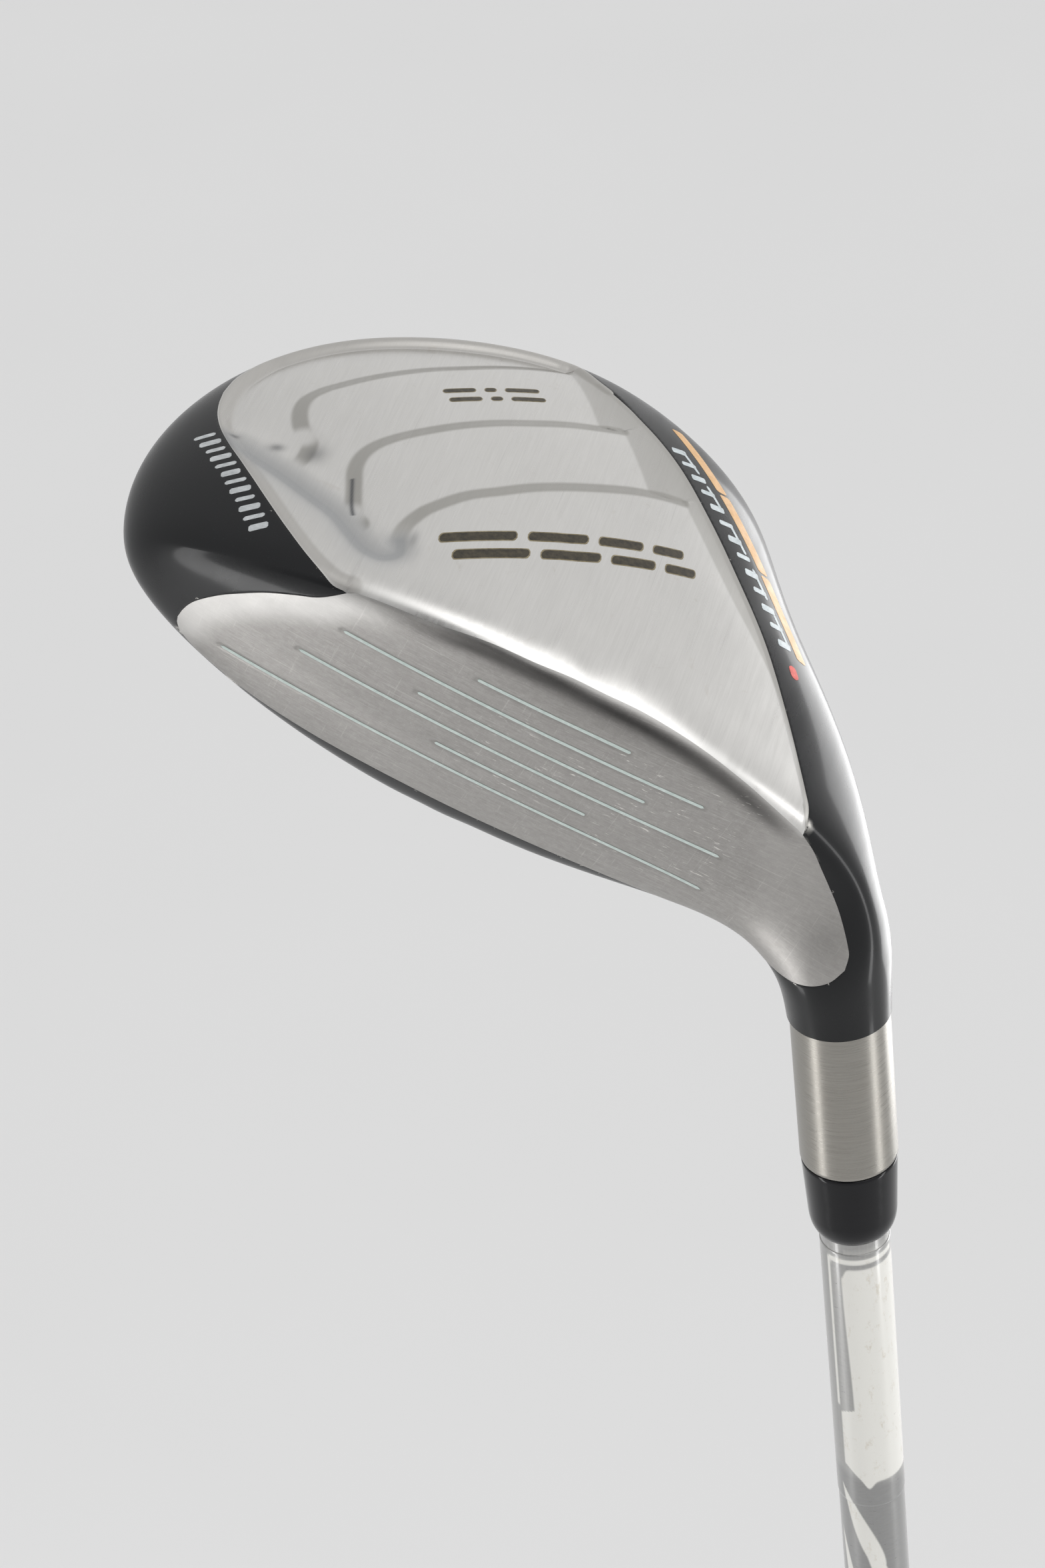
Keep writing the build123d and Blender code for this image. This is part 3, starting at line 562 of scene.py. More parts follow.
def face_material():
    k = Mat("face_steel_finish")
    p = k.attr("pa", "Vector")
    grain = k.noise(k.mapv(p, (0.55, 3.0, 5.0), (0, 0.18, 0)), 1.0, 5, 0.7)
    grit = k.noise(p, 4.2, 4, 0.7)
    cloud = k.noise(k.mapv(p, (0.10, 0.10, 0.10)), 1.0, 4, 0.6)
    col = k.mix(cloud, (0.345, 0.333, 0.32), (0.43, 0.418, 0.403))
    col = k.mix(k.range(grain, 0.35, 0.65, 0.0, 0.45), col, (0.25, 0.24, 0.228))
    col = k.mix(k.range(grit, 0.58, 0.70, 0.0, 0.34), col, (0.62, 0.61, 0.59))
    sc1 = k.range(k.noise(k.mapv(p, (0.10, 0.5, 6.0), (0, 0.75, 0)), 1.0, 2, 0.5), 0.64, 0.70)
    sc2 = k.range(k.noise(k.mapv(p, (6.0, 0.5, 0.10), (0, 0.30, 0)), 1.0, 2, 0.5), 0.66, 0.72)
    col = k.mix(k.math("MULTIPLY", k.math("MAXIMUM", sc1, sc2), 0.30), col, (0.60, 0.58, 0.56))
    mottle = k.noise(k.mapv(p, (1.1, 1.1, 1.1)), 1.0, 5, 0.75)
    col = k.mix(k.range(mottle, 0.40, 0.62, 0.0, 0.28), col, (0.24, 0.23, 0.22))
    toe_glow = k.attr("glow")
    col = k.mix(k.math("MULTIPLY", toe_glow, 0.50), col, (0.78, 0.77, 0.75))
    # painted shade: dark band just below the leading edge
    col = k.mix(k.math("MULTIPLY", k.attr("under"), 0.80), col, (0.085, 0.082, 0.08))
    # short bright ticks left by balls, on the heel half of the hitting area
    tick = k.range(k.noise(k.mapv(p, (0.55, 1.5, 3.6), (0, 0.42, 0)), 1.0, 3, 0.65), 0.625, 0.665)
    patchy = k.range(k.noise(k.mapv(p, (0.22, 0.22, 0.22)), 1.0, 3, 0.6), 0.44, 0.56)
    ticks = k.math("MULTIPLY", k.math("MULTIPLY", tick, patchy), k.attr("hit"))
    col = k.mix(k.math("MULTIPLY", ticks, 0.75), col, (0.80, 0.78, 0.74))
    # painted shade: darker colour along the score-line grooves
    col = k.mix(k.math("MULTIPLY", k.attr("groove"), 0.38), col, (0.22, 0.215, 0.20))
    col = k.mix(k.math("MULTIPLY", k.attr("fan"), 0.22), col, (0.62, 0.60, 0.58))
    rough = k.math("ADD", k.range(cloud, 0.3, 0.7, 0.33, 0.42), k.range(grit, 0.3, 0.7, -0.03, 0.04))
    nb = k.bump(grain, 0.000014, 0.35)
    nb = k.bump(ticks, 0.00002, 0.5, nb)
    k.set(k.b, Base_Color=col, Metallic=1.0, Roughness=rough, Anisotropic=0.2, Normal=nb)
    return k.m


def steel_material(name="hosel_steel_finish", tone=(0.235, 0.225, 0.205), tone2=(0.39, 0.375, 0.345)):
    k = Mat(name)
    p = k.attr("pa", "Vector")
    ring = k.noise(k.mapv(p, (0.25, 0.25, 7.0)), 1.0, 4, 0.7)
    cloud = k.noise(k.mapv(p, (0.25, 0.25, 0.12)), 1.0, 4, 0.6)
    col = k.mix(ring, tone, tone2)
    col = k.mix(k.range(cloud, 0.5, 0.75, 0.0, 0.35), col, (0.30, 0.28, 0.25))
    k.set(k.b, Base_Color=col, Metallic=1.0, Roughness=k.range(ring, 0.3, 0.7, 0.24, 0.36), Anisotropic=0.3,
          Normal=k.bump(ring, 0.00001, 0.4))
    return k.m


def ink_material(name, c0, c1, rough=0.45, scale=2.0):
    k = Mat(name)
    p = k.attr("pa", "Vector")
    n = k.noise(p, scale, 4, 0.7)
    w = k.noise(k.mapv(p, (0.6, 0.6, 0.6)), 1.0, 3)
    col = k.mix(k.range(n, 0.3, 0.7), c0, c1)
    k.set(k.b, Base_Color=col, Roughness=k.range(w, 0.3, 0.7, rough - 0.08, rough + 0.08), Specular_IOR_Level=0.45,
          Normal=k.bump(n, 0.00001, 0.4))
    return k.m


def gloss_black():
    k = Mat("ferrule_finish")
    p = k.attr("pa", "Vector")
    n = k.noise(k.mapv(p, (0.3, 0.3, 3.0)), 1.0, 3)
    s = k.noise(p, 1.2, 5, 0.7)
    col = k.mix(n, (0.004, 0.004, 0.005), (0.008, 0.008, 0.010))
    k.set(k.b, Base_Color=col, Roughness=k.range(s, 0.35, 0.7, 0.10, 0.20), Specular_IOR_Level=0.15, Coat_Weight=0.20, Coat_Roughness=0.06,
          Normal=k.bump(n, 0.000006, 0.3))
    return k.m


def shaft_material(name="shaft_finish"):
    k = Mat(name)
    p = k.attr("pa", "Vector")
    weave = k.noise(k.mapv(p, (0.9, 0.9, 2.6)), 1.0, 4, 0.65)
    streak = k.noise(k.mapv(p, (2.2, 2.2, 0.05)), 1.0, 3, 0.5)
    col = k.mix(weave, (0.30, 0.30, 0.295), (0.40, 0.395, 0.385))
    col = k.mix(k.range(streak, 0.4, 0.7, 0.0, 0.25), col, (0.50, 0.495, 0.48))
    col = k.mix(k.attr("dark"), col, k.mix(weave, (0.235, 0.235, 0.235), (0.30, 0.30, 0.295)))
    stain = k.range(k.noise(k.mapv(p, (0.75, 0.75, 0.35)), 1.0, 5, 0.78), 0.56, 0.70)
    cream = k.mix(k.math("MULTIPLY", stain, 0.48), (0.80, 0.79, 0.745), (0.52, 0.45, 0.33))
    col = k.mix(k.attr("cream"), col, cream)
    metal = k.math("SUBTRACT", 0.55, k.math("MULTIPLY", k.attr("cream"), 0.55), clamp=True)
    k.set(k.b, Base_Color=col, Metallic=metal, Roughness=k.range(weave, 0.3, 0.7, 0.27, 0.37), Coat_Weight=0.7, Coat_Roughness=0.07,
          Normal=k.bump(k.math("ADD", weave, k.attr("cream")), 0.000008, 0.4))
    return k.m


def rubber_material(name, tone=0.016):
    k = Mat(name)
    p = k.attr("pa", "Vector")
    n = k.noise(p, 3.0, 4, 0.7)
    dust = k.noise(k.mapv(p, (0.10, 0.10, 0.05)), 1.0, 5, 0.65)
    col = k.mix(n, (tone * 0.8,) * 3, (tone * 1.3,) * 3)
    col = k.mix(k.range(dust, 0.5, 0.8, 0.0, 0.3), col, (0.06, 0.058, 0.055))
    k.set(k.b, Base_Color=col, Roughness=k.range(dust, 0.3, 0.7, 0.55, 0.75), Specular_IOR_Level=0.35, Normal=k.bump(n, 0.00006, 0.5))
    return k.m


def cad_material(name, c0, c1, metallic=0.0, rough=0.5, scale=600.0):
    k = Mat(name)
    tc = k.t.nodes.new("ShaderNodeTexCoord").outputs["Object"]
    n = k.noise(tc, scale, 4, 0.6)
    k.set(k.b, Base_Color=k.mix(n, c0, c1), Metallic=metallic, Roughness=k.range(n, 0.3, 0.7, rough - 0.1, rough + 0.1),
          Normal=k.bump(n, 0.00004, 0.4))
    return k.m


m_paint, m_sole, m_face, m_hosel = paint_material(), sole_material(), face_material(), steel_material()
m_line = ink_material("score_line_finish", (0.50, 0.59, 0.56), (0.66, 0.73, 0.70), 0.5, 1.6)
m_dark = ink_material("sole_mark_finish", (0.020, 0.017, 0.012), (0.075, 0.062, 0.038), 0.42, 1.5)
m_gold = ink_material("sole_mark_edge_finish", (0.16, 0.13, 0.075), (0.34, 0.29, 0.18), 0.40, 1.5)
m_light = ink_material("toe_mark_finish", (0.40, 0.42, 0.43), (0.62, 0.64, 0.65), 0.42, 1.2)
m_white = ink_material("heel_mark_finish", (0.46, 0.52, 0.54), (0.72, 0.77, 0.79), 0.40, 1.2)
m_orange = ink_material("heel_stripe_finish", (0.62, 0.36, 0.15), (0.80, 0.50, 0.24), 0.42, 1.0)
m_red = ink_material("heel_dot_finish", (0.55, 0.04, 0.03), (0.75, 0.09, 0.06), 0.40, 2.0)
m_fer, m_shaft, m_rub, m_cap = gloss_black(), shaft_material(), rubber_material("grip_rubber_finish"), rubber_material("grip_cap_finish", 0.020)
m_ring = ink_material("grip_ring_finish", (0.45, 0.45, 0.43), (0.62, 0.62, 0.60), 0.5, 1.5)

made = []


def keep(ob, nodes):
    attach(ob, "root")
    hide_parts(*nodes)
    made.append(ob.name)
    return ob


# ------------------------------------------------------------ painted skin of the head
def centroid(c, u, v):
    a = np.linspace(0, 2 * math.pi, 160, endpoint=False)
    dirs = np.cos(a)[:, None] * u + np.sin(a)[:, None] * v
    for _ in range(2):
        pts = cast(np.tile(c, (160, 1)), dirs)
        uu, vv = (pts - c) @ u, (pts - c) @ v
        u2, v2 = np.roll(uu, -1), np.roll(vv, -1)
        cr = uu * v2 - u2 * vv
        A = cr.sum() / 2
        c = c + ((uu + u2) * cr).sum() / (6 * A) * u + ((vv + v2) * cr).sum() / (6 * A) * v
    return c


U = np.array([0.0, 1.0, 0.0])
tip = None
g = np.stack(np.meshgrid(np.linspace(-0.5, 0.5, 41), np.linspace(-0.5, 0.5, 41)), -1).reshape(-1, 2)
c0, d0 = np.array([10.0, 24.0, 19.0]), np.array([0.0, 0.0])
for sc in (1.0, 0.2, 0.04):
    dirs = np.stack([np.ones(len(g)), d0[0] + g[:, 0] * sc, d0[1] + g[:, 1] * sc], -1)
    dirs /= np.linalg.norm(dirs, axis=1)[:, None]
    pts = cast(np.tile(c0, (len(g), 1)), dirs)
    j = pts[:, 0].argmax()
    tip, d0 = pts[j], dirs[j][1:] / dirs[j][0]
HEEL_X, PIVOT_S = -18.0, 39.0
xs = tip[0] - np.array([0.15, 1, 3, 6, 10, 15, 21, 28, 36, 44, 52, 58, tip[0] - HEEL_X])
cs, c = [], tip.copy()
for x in xs:
    c = centroid(np.array([x, c[1], c[2]]), U, np.array([0, 0, 1.0]))
    cs.append(c)
cs = np.array(cs)
q = S0 + PIVOT_S * AX
tt = (HEEL_X - q[0]) / E_[0]
piv = np.array([HEEL_X, 0, q[2] + tt * E_[2]])
rho, cy = piv[2] - c[2], c[1]
ths, fan_c = [0.0], [(cy, rho)]
for th in np.linspace(0, LIE, 13)[1:]:
    v = np.array([math.sin(R_(th)), 0, math.cos(R_(th))])
    g_ = piv - rho * v
    g_[1] = cy
    g2 = centroid(g_, U, v)
    cy, rho = g2[1], (piv - g2) @ v
    ths.append(th)
    fan_c.append((cy, rho))
fan_c = np.array(fan_c)
secs = []
for t in np.linspace(0, 1, 176):
    x = tip[0] - 0.02 - (tip[0] - 0.02 - HEEL_X) * t ** 1.65
    k = [np.interp(-x, -xs, cs[:, i]) for i in range(3)]
    secs.append((np.array([x, k[1], k[2]]), np.array([0, 0, 1.0])))
for th in np.linspace(0, LIE, 92)[1:]:
    v = np.array([math.sin(R_(th)), 0, math.cos(R_(th))])
    g_ = piv - np.interp(th, ths, fan_c[:, 1]) * v
    g_[1] = np.interp(th, ths, fan_c[:, 0])
    secs.append((g_, v))
ax_c = (secs[-1][0] - S0) @ AX
for s in np.linspace(PIVOT_S, RING_S, 14)[1:]:
    w = (s - PIVOT_S) / (RING_S - PIVOT_S)
    cc = (S0 + s * AX) * w + (secs[174 + 92][0] + (s - PIVOT_S) * AX) * (1 - w)
    secs.append((cc, E_))
NA = 640
ang = np.linspace(0, 2 * math.pi, NA, endpoint=False)
org = np.concatenate([np.tile(c, (NA, 1)) for c, v in secs])
dirs = np.concatenate([np.cos(ang)[:, None] * U + np.sin(ang)[:, None] * v for c, v in secs])
body = cast(org, dirs)
bn = gradient(body)
xy, xz = body[:, [0, 1]], body[:, [0, 2]]
low = (body[:, 2] < 20.0) & (bn[:, 2] < 0.02)
front = (body[:, 1] < 12.2) & (body[:, 0] > -52)
d_s = line_dist(xy, sole_poly[::3], True)
d_f = line_dist(xz, face_poly[::3], True)
in_s, in_f = inside(xy, sole_poly) & low, inside(xz, face_poly) & front
push = np.maximum(np.where(in_s, sstep(0.05, 1.0, d_s), 0), np.where(in_f, sstep(0.05, 1.0, d_f), 0)) * 1.5
edge = np.maximum(np.where(low & ~in_s, 1 - sstep(0.0, 0.9, d_s), 0), np.where(front & ~in_f, 1 - sstep(0.0, 0.9, d_f), 0))
body = body - bn * (0.06 + push)[:, None]
CHIPS = [(-57.3, 15.5, 36.2, 1.3), (-57.0, 13.0, 36.9, 0.9), (-38.6, 5.2, 13.6, 0.9), (-40.4, 5.9, 15.4, 0.8), (-37.9, 6.9, 11.9, 0.7), (26.0, 11.0, 33.6, 0.9), (33.8, 10.4, 30.0, 0.6), (-52.4, 8.0, 33.0, 0.9)]
chip = np.zeros(len(body))
for cx, cy_, cz, rr in CHIPS:
    chip = np.maximum(chip, 1 - sstep(rr * 0.5, rr * 1.6, np.linalg.norm(body - np.array([cx, cy_, cz]), axis=1)))
n0 = len(body)
lipdir = body[-NA:] - (S0 + RING_S * AX)
lipdir -= (lipdir @ AX)[:, None] * AX
lipdir /= np.linalg.norm(lipdir, axis=1)[:, None]
edge_ring = body[-NA:]
lip = S0 + RING_S * AX + lipdir * 5.90
pole = tip - np.array([0.06, 0, 0])
V = np.vstack([body, edge_ring, lip, [pole]])
F1 = grid_faces(len(secs), NA, wrap_v=True)
F2 = grid_faces(2, NA, wrap_v=True, off=n0)
j = np.arange(NA)
F3 = np.stack([np.full(NA, n0 + 2 * NA), j, (j + 1) % NA], -1)
out = np.vstack([bn, bn[-NA:], bn[-NA:], [[1, 0, 0]]])
chk = np.cross(V[F1[:, 2]] - V[F1[:, 0]], V[F1[:, 3]] - V[F1[:, 1]])
flip = (chk * out[F1[:, 0]]).sum() < 0
if flip:
    F1, F2 = F1[:, ::-1], F2[:, ::-1]
c3 = np.cross(V[F3[:, 1]] - V[F3[:, 0]], V[F3[:, 2]] - V[F3[:, 0]])
if c3[:, 0].sum() < 0:
    F3 = F3[:, ::-1]
z2 = np.zeros(2 * NA + 1)
skin = make("skin", V, [F1, F2, F3], m_paint, {"edge": np.r_[edge, z2], "chip": np.r_[chip, z2]})
keep(skin, ["head_body"])


# ------------------------------------------------------------ plates as height fields
def patch(name, lo, hi, xa, xb, nx, ny, solve, mat, attr_fn, skirt=0.30):
    t = np.linspace(0, 1, nx)
    t = 0.78 * t + 0.22 * (1 - np.cos(math.pi * t)) / 2
    x = xa + (xb - xa) * t
    a, b = np.interp(x, lo[:, 0], lo[:, 1]), np.interp(x, hi[:, 0], hi[:, 1])
    s = np.linspace(0, 1, ny)
    X = np.repeat(x[:, None], ny, 1).ravel()
    W = (a[:, None] * (1 - s) + b[:, None] * s).ravel()
    P, attrs = solve(X, W)
    n = gradient(P)
    G = np.arange(nx * ny).reshape(nx, ny)
    border = np.concatenate([G[:, 0], G[-1, 1:], G[-2::-1, -1], G[0, -2:0:-1]])
    top, bot = P[border], P[border] - n[border] * skirt
    V = np.vstack([P, top, bot])
    k = len(border)
    faces = grid_faces(nx, ny)
    j = np.arange(k)
    sk = np.stack([len(P) + j, len(P) + (j + 1) % k, len(P) + k + (j + 1) % k, len(P) + k + j], -1)
    ch = np.cross(V[faces[:, 2]] - V[faces[:, 0]], V[faces[:, 3]] - V[faces[:, 1]])
    if (ch * n[faces[:, 0]]).sum() < 0:
        faces = faces[:, ::-1]
        sk = sk[:, ::-1]
    sk = sk[:, ::-1]
    attrs = {q: np.r_[v, v[border], v[border]] for q, v in {**attrs, **attr_fn(P)}.items()}
    return make(name, V, [faces, sk], mat, attrs)


def sole_solve(X, Y):
    return sole_point(X, Y)


sole = patch("sole_skin", sole_front, sole_back, -38.2, 41.7, 430, 300, sole_solve, m_sole, lambda P: {})
keep(sole, ["sole_plate"])

LINE_Z0, LINE_STEP = 10.85, 3.40
SPANS = [(-16.6, 2.1), (-27.0, 17.5), (-21.1, 7.1), (-31.8, 20.9), (-16.3, 2.6), (-32.3, 28.9)]


def face_solve(X, Z):
    y = solve_y(X, Z)
    P = np.stack([X, y, Z], -1)
    gr = np.zeros(len(X))
    for i, (xa, xb) in enumerate(SPANS):
        z = LINE_Z0 + i * LINE_STEP
        d = np.hypot(Z - z, np.maximum(np.maximum(xa - X, X - xb), 0))
        # gr sinks the score-line grooves and also carries their painted shade
        gr = np.maximum(gr, 1 - sstep(0.30, 0.62, d))
    hit = (1 - sstep(-6.0, 6.0, X)) * sstep(-37.0, -30.0, X) * sstep(9.0, 12.0, Z) * (1 - sstep(28.0, 31.0, Z))
    fan = (1 - sstep(-39.5, -34.5, X + (Z - 22.0) * 0.35)) * 0.8
    n = gradient(P)
    dl = line_dist(np.stack([X, Z], -1), np.stack([lead_x, lead_z], -1))
    # painted shade: dark band on the face just below the leading edge
    under = np.exp(-(((dl - 1.25) / 0.95) ** 2)) * sstep(-38.5, -34.0, X) * (1 - sstep(4.0, 15.0, X))
    glow = np.maximum((1 - sstep(0.0, 0.55, dl)) * 0.9, sstep(10.0, 20.0, X) * (1 - sstep(1.5, 5.5, line_dist(np.stack([X, Z], -1), face_low[face_low[:, 0] > 8.0]))))
    return P - n * (gr * 0.05)[:, None], {"groove": gr, "hit": hit, "fan": fan, "under": under, "glow": glow}


face = patch("face_skin", face_low, face_high, -50.95, 34.65, 460, 150, face_solve, m_face, lambda P: {})
keep(face, ["face_plate"])


# ------------------------------------------------------------ thin printed and filled marks that follow the form
def conform(name, quads, place, mat, nodes, nu=24, nv=6, thick=0.12, round_=0.25):
    Vs, Fs, off = [], [], 0
    for qd in quads:
        p = [np.array(c, float) for c in qd]
        u, v = np.meshgrid(np.linspace(0, 1, nu), np.linspace(0, 1, nv), indexing="ij")
        # ends drawn in a little so that corners read as painted, not cut
        e = np.minimum(u, 1 - u) * np.linalg.norm(p[1] - p[0])
        wid = np.linalg.norm(p[3] - p[0])
        rad = min(round_, wid / 2)
        cut = np.where(e < rad, (rad - np.sqrt(np.maximum(rad ** 2 - (rad - e) ** 2, 0))) / wid, 0)
        v = cut + (1 - 2 * cut) * v
        c = (p[0] * ((1 - u) * (1 - v))[..., None] + p[1] * (u * (1 - v))[..., None] + p[2] * (u * v)[..., None] + p[3] * ((1 - u) * v)[..., None])
        P = place(c.reshape(-1, 2))
        n = gradient(P)
        G = np.arange(nu * nv).reshape(nu, nv)
        border = np.concatenate([G[:, 0], G[-1, 1:], G[-2::-1, -1], G[0, -2:0:-1]])
        k = len(border)
        V = np.vstack([P, P[border], P[border] - n[border] * thick])
        f = grid_faces(nu, nv)
        j = np.arange(k)
        sk = np.stack([len(P) + j, len(P) + (j + 1) % k, len(P) + k + (j + 1) % k, len(P) + k + j], -1)
        ch = np.cross(V[f[:, 2]] - V[f[:, 0]], V[f[:, 3]] - V[f[:, 1]])
        if (ch * n[f[:, 0]]).sum() < 0:
            f, sk = f[:, ::-1], sk[:, ::-1]
        sk = sk[:, ::-1]
        Vs.append(V)
        Fs += [f + off, sk + off]
        off += len(V)
    ob = make(name, np.vstack(Vs), Fs, mat)
    return keep(ob, nodes)


def on_face(lift):
    def f(c):
        y = solve_y(c[:, 0], c[:, 1])
        P = np.stack([c[:, 0], y, c[:, 1]], -1)
        return P + gradient(P) * lift
    return f


def on_sole(lift):
    return lambda c: sole_point(c[:, 0].copy(), c[:, 1].copy(), lift)[0]


def on_skin(lift):
    return lambda c: sole_point(c[:, 0].copy(), c[:, 1].copy(), lift, sunk=False)[0]


for i, (xa, xb) in enumerate(SPANS):
    z = LINE_Z0 + i * LINE_STEP
    conform("score_line_%d" % (i + 1), [[(xa, z - 0.23), (xb, z - 0.23), (xb, z + 0.23), (xa, z + 0.23)]], on_face(-0.012), m_line,
            ["score_line_fill"], nu=150, nv=5, thick=0.05)


def strip(p0, p1, w, slant=0.0):
    p0, p1 = np.array(p0, float), np.array(p1, float)
    d = (p1 - p0) / np.linalg.norm(p1 - p0)
    n = np.array([-d[1], d[0]]) * w / 2
    sh = d * slant
    return [p0 + n, p1 + n, p1 - n + sh, p0 - n + sh]


base, run = np.array([13.0, 12.6]), np.array([-28.3, 16.0])
ru = run / np.linalg.norm(run)
sd = np.array([ru[1], -ru[0]])
bars, rims = [], []
for a, b, w in [(0.0, 9.0, 1.5), (10.2, 17.6, 1.5), (18.8, 24.6, 1.5), (25.8, 30.0, 1.5)]:
    for off in (0.0, 2.6):
        p0, p1 = base + ru * (a + off * 0.35) - sd * off, base + ru * (b + off * 0.35) - sd * off
        bars.append(strip(p0 + ru * 0.14, p1 - ru * 0.14, w - 0.30, 0.5))
        rims.append(strip(p0, p1, w, 0.5))
nb0, nrun = np.array([19.0, 39.6]), np.array([-10.8, 7.1])
nu_ = nrun / np.linalg.norm(nrun)
for a, b in ((0.0, 4.2), (5.2, 6.8), (7.8, 12.4)):
    for off in (-1.0, 1.0):
        s2 = np.array([-nu_[1], nu_[0]]) * off
        bars.append(strip(nb0 + nu_ * (a + 0.12) + s2, nb0 + nu_ * (b - 0.12) + s2, 0.72, 0.3))
        rims.append(strip(nb0 + nu_ * a + s2, nb0 + nu_ * b + s2, 0.98, 0.3))
conform("sole_mark_rims", rims, on_sole(0.012), m_gold, ["sole_mark_fill"], nu=40, nv=7, thick=0.1, round_=0.5)
conform("sole_marks", bars, on_sole(0.026), m_dark, ["sole_mark_fill"], nu=40, nv=7, thick=0.1, round_=0.45)

toe = []
for k in range(12):
    t = k / 11
    c = np.array([30.9, 9.2]) * (1 - t) + np.array([41.0, 24.2]) * t
    d = np.array([0.90, -0.44])
    L = 1.05 if k % 3 else 0.95
    toe.append(strip(c - d * L, c + d * L, 0.62 if k % 2 else 0.9, 0.15))
conform("toe_marks", toe, on_skin(-0.035), m_light, ["toe_mark_fill"], nu=12, nv=5, thick=0.1, round_=0.2)
heel = []
h0, h1 = np.array([-8.3, 47.6]), np.array([-29.4, 24.9])
hd = (h1 - h0) / np.linalg.norm(h1 - h0)
hn = np.array([hd[1], -hd[0]])
for k in range(13):
    t = (k + 0.2) / 13
    c = h0 + (h1 - h0) * t + hn * 0.0
    heel.append(strip(c - hn * 1.0, c + hn * 1.0 + hd * 0.5, 0.75 if k % 2 else 1.0, 0.1))
for k in range(5):
    a, b = (k + 0.05) / 5, (k + 0.75) / 5
    heel.append(strip(h0 + (h1 - h0) * a + hn * 0.75, h0 + (h1 - h0) * b + hn * 0.75, 0.42))
conform("heel_marks", heel, on_skin(-0.035), m_white, ["heel_mark_fill"], nu=16, nv=5, thick=0.1, round_=0.2)
stripe = []
o0, o1 = np.array([-7.6, 53.2]), np.array([-31.2, 26.4])
for k in range(3):
    a, b = k / 3 + 0.006, (k + 1) / 3 - 0.006
    stripe.append(strip(o0 + (o1 - o0) * a, o0 + (o1 - o0) * b, 1.5, 0.4))
conform("heel_stripe", stripe, on_skin(-0.035), m_orange, ["heel_mark_fill"], nu=60, nv=6, thick=0.1, round_=0.3)
conform("heel_dot", [strip((-29.9, 23.9), (-31.0, 22.4), 1.2)], on_skin(-0.034), m_red, ["heel_mark_fill"], nu=14, nv=9, thick=0.1, round_=0.6)

# ------------------------------------------------------------ hosel, ferrule, shaft, grip about the club axis
Z_H = CLUB - HOSEL_END
hos = [(4.42, Z_H + 3.0), (4.42, Z_H), (5.60, Z_H), (5.95, Z_H + 0.35)]
hos = dense([(5.60, Z_H), (5.70, Z_H + 0.06), (5.88, Z_H + 0.22), (5.95, Z_H + 0.45), (5.95, CLUB - RING_S + 0.05)], 0.25)
hos = np.vstack([[(4.42, Z_H + 3.0), (4.42, Z_H)], hos])
keep(lathe("hosel_tube", hos, m_hosel, 256), ["head_body"])
fz1 = Z_H - 11.3
fer = dense([(4.27, Z_H - 0.02), (5.78, Z_H - 0.02), (5.85, Z_H - 0.10), (5.84, Z_H - 0.5), (5.72, Z_H - 3.0), (5.60, Z_H - 5.5), (5.45, fz1 + 2.6), (5.38, fz1 + 1.9), (5.27, fz1 + 1.3), (5.12, fz1 + 0.8), (4.92, fz1 + 0.35), (4.66, fz1), (4.28, fz1)], 0.3)
keep(lathe("ferrule_collar", fer, m_fer, 256), ["ferrule"])

VIEW = math.atan2(-0.7797, 0.2378)


def turn(a):
    return np.degrees((a - VIEW + math.pi) % (2 * math.pi) - math.pi)


def cream_mask(a, z, r):
    phi = turn(a)          # degrees to the right of the printed side's middle
    w = 0.20
    box = lambda lo, hi, v, e: sstep(lo - e, lo + e, v) * (1 - sstep(hi - e, hi + e, v))
    # outline: a ring near the ferrule that turns down the left side
    top = box(960.45, 961.25, z, 0.12) * box(-56, 66, phi, 2)
    left = box(-59.5, -54.0, phi, 1.2) * box(935.4, 961.0, z, 0.3)
    corner = np.exp(-(((phi + 54) / 4.0) ** 2 + ((z - 960.5) / 0.5) ** 2))
    # panel
    pl = -33.0 + 7.0 * (1 - sstep(934.0, 958.0, z)) - 26.0 * (1 - sstep(934.2, 935.4, z))
    edge_top = 959.6 - 1.6 * np.exp(-((phi + 34) / 7.0) ** 2)
    low = 922.6 - 1.2 * np.exp(-((phi + 9) / 9.0) ** 2) + 2.6 * (1 - sstep(-58, -12, phi))
    panel = sstep(pl - 1.5, pl + 1.5, phi) * (1 - sstep(124, 128, phi)) * (1 - sstep(edge_top - w, edge_top + w, z)) * sstep(low - w, low + w, z)
    # leaf shapes below
    def leaf(p0, z0, p1, z1, wd):
        d = np.array([(p1 - p0) * 0.076, z1 - z0])
        L = np.hypot(*d)
        d = d / L
        x, y = (phi - p0) * 0.076, z - z0
        t = (x * d[0] + y * d[1]) / L
        n = np.abs(-x * d[1] + y * d[0])
        half = wd * np.sqrt(np.clip(t, 0, 1)) * np.clip(1 - t, 0, 1) * 2.2
        return (1 - sstep(half - 0.15, half + 0.15, n)) * (t > 0) * (t < 1)
    lf = np.maximum(leaf(6, 906.0, -62, 921.0, 1.5), leaf(40, 896.0, -40, 916.0, 1.3))
    lf = np.maximum(lf, leaf(-20, 886.0, -75, 912.0, 1.2))
    up = box(430, 550, z, 0.4) * box(-24, 24, phi + 6 * np.sin(z / 9.0), 1.5)
    return np.clip(np.maximum.reduce([top, left, corner * 0.9, panel, lf, up]), 0, 1)


def dark_mask(a, z, r):
    phi = turn(a)
    w = (1 - sstep(921.5, 923.5, z + 0.02 * phi)) * sstep(880, 884, z)
    u = sstep(420, 424, z) * (1 - sstep(556, 560, z)) * sstep(30, 34, np.abs(phi))
    return np.clip(0.85 * w + 0.8 * u, 0, 1)


def shaft_r(z):
    return 7.6 + (4.25 - 7.6) * np.clip((z - 154.0) / (854.0 - 154.0), 0, 1)


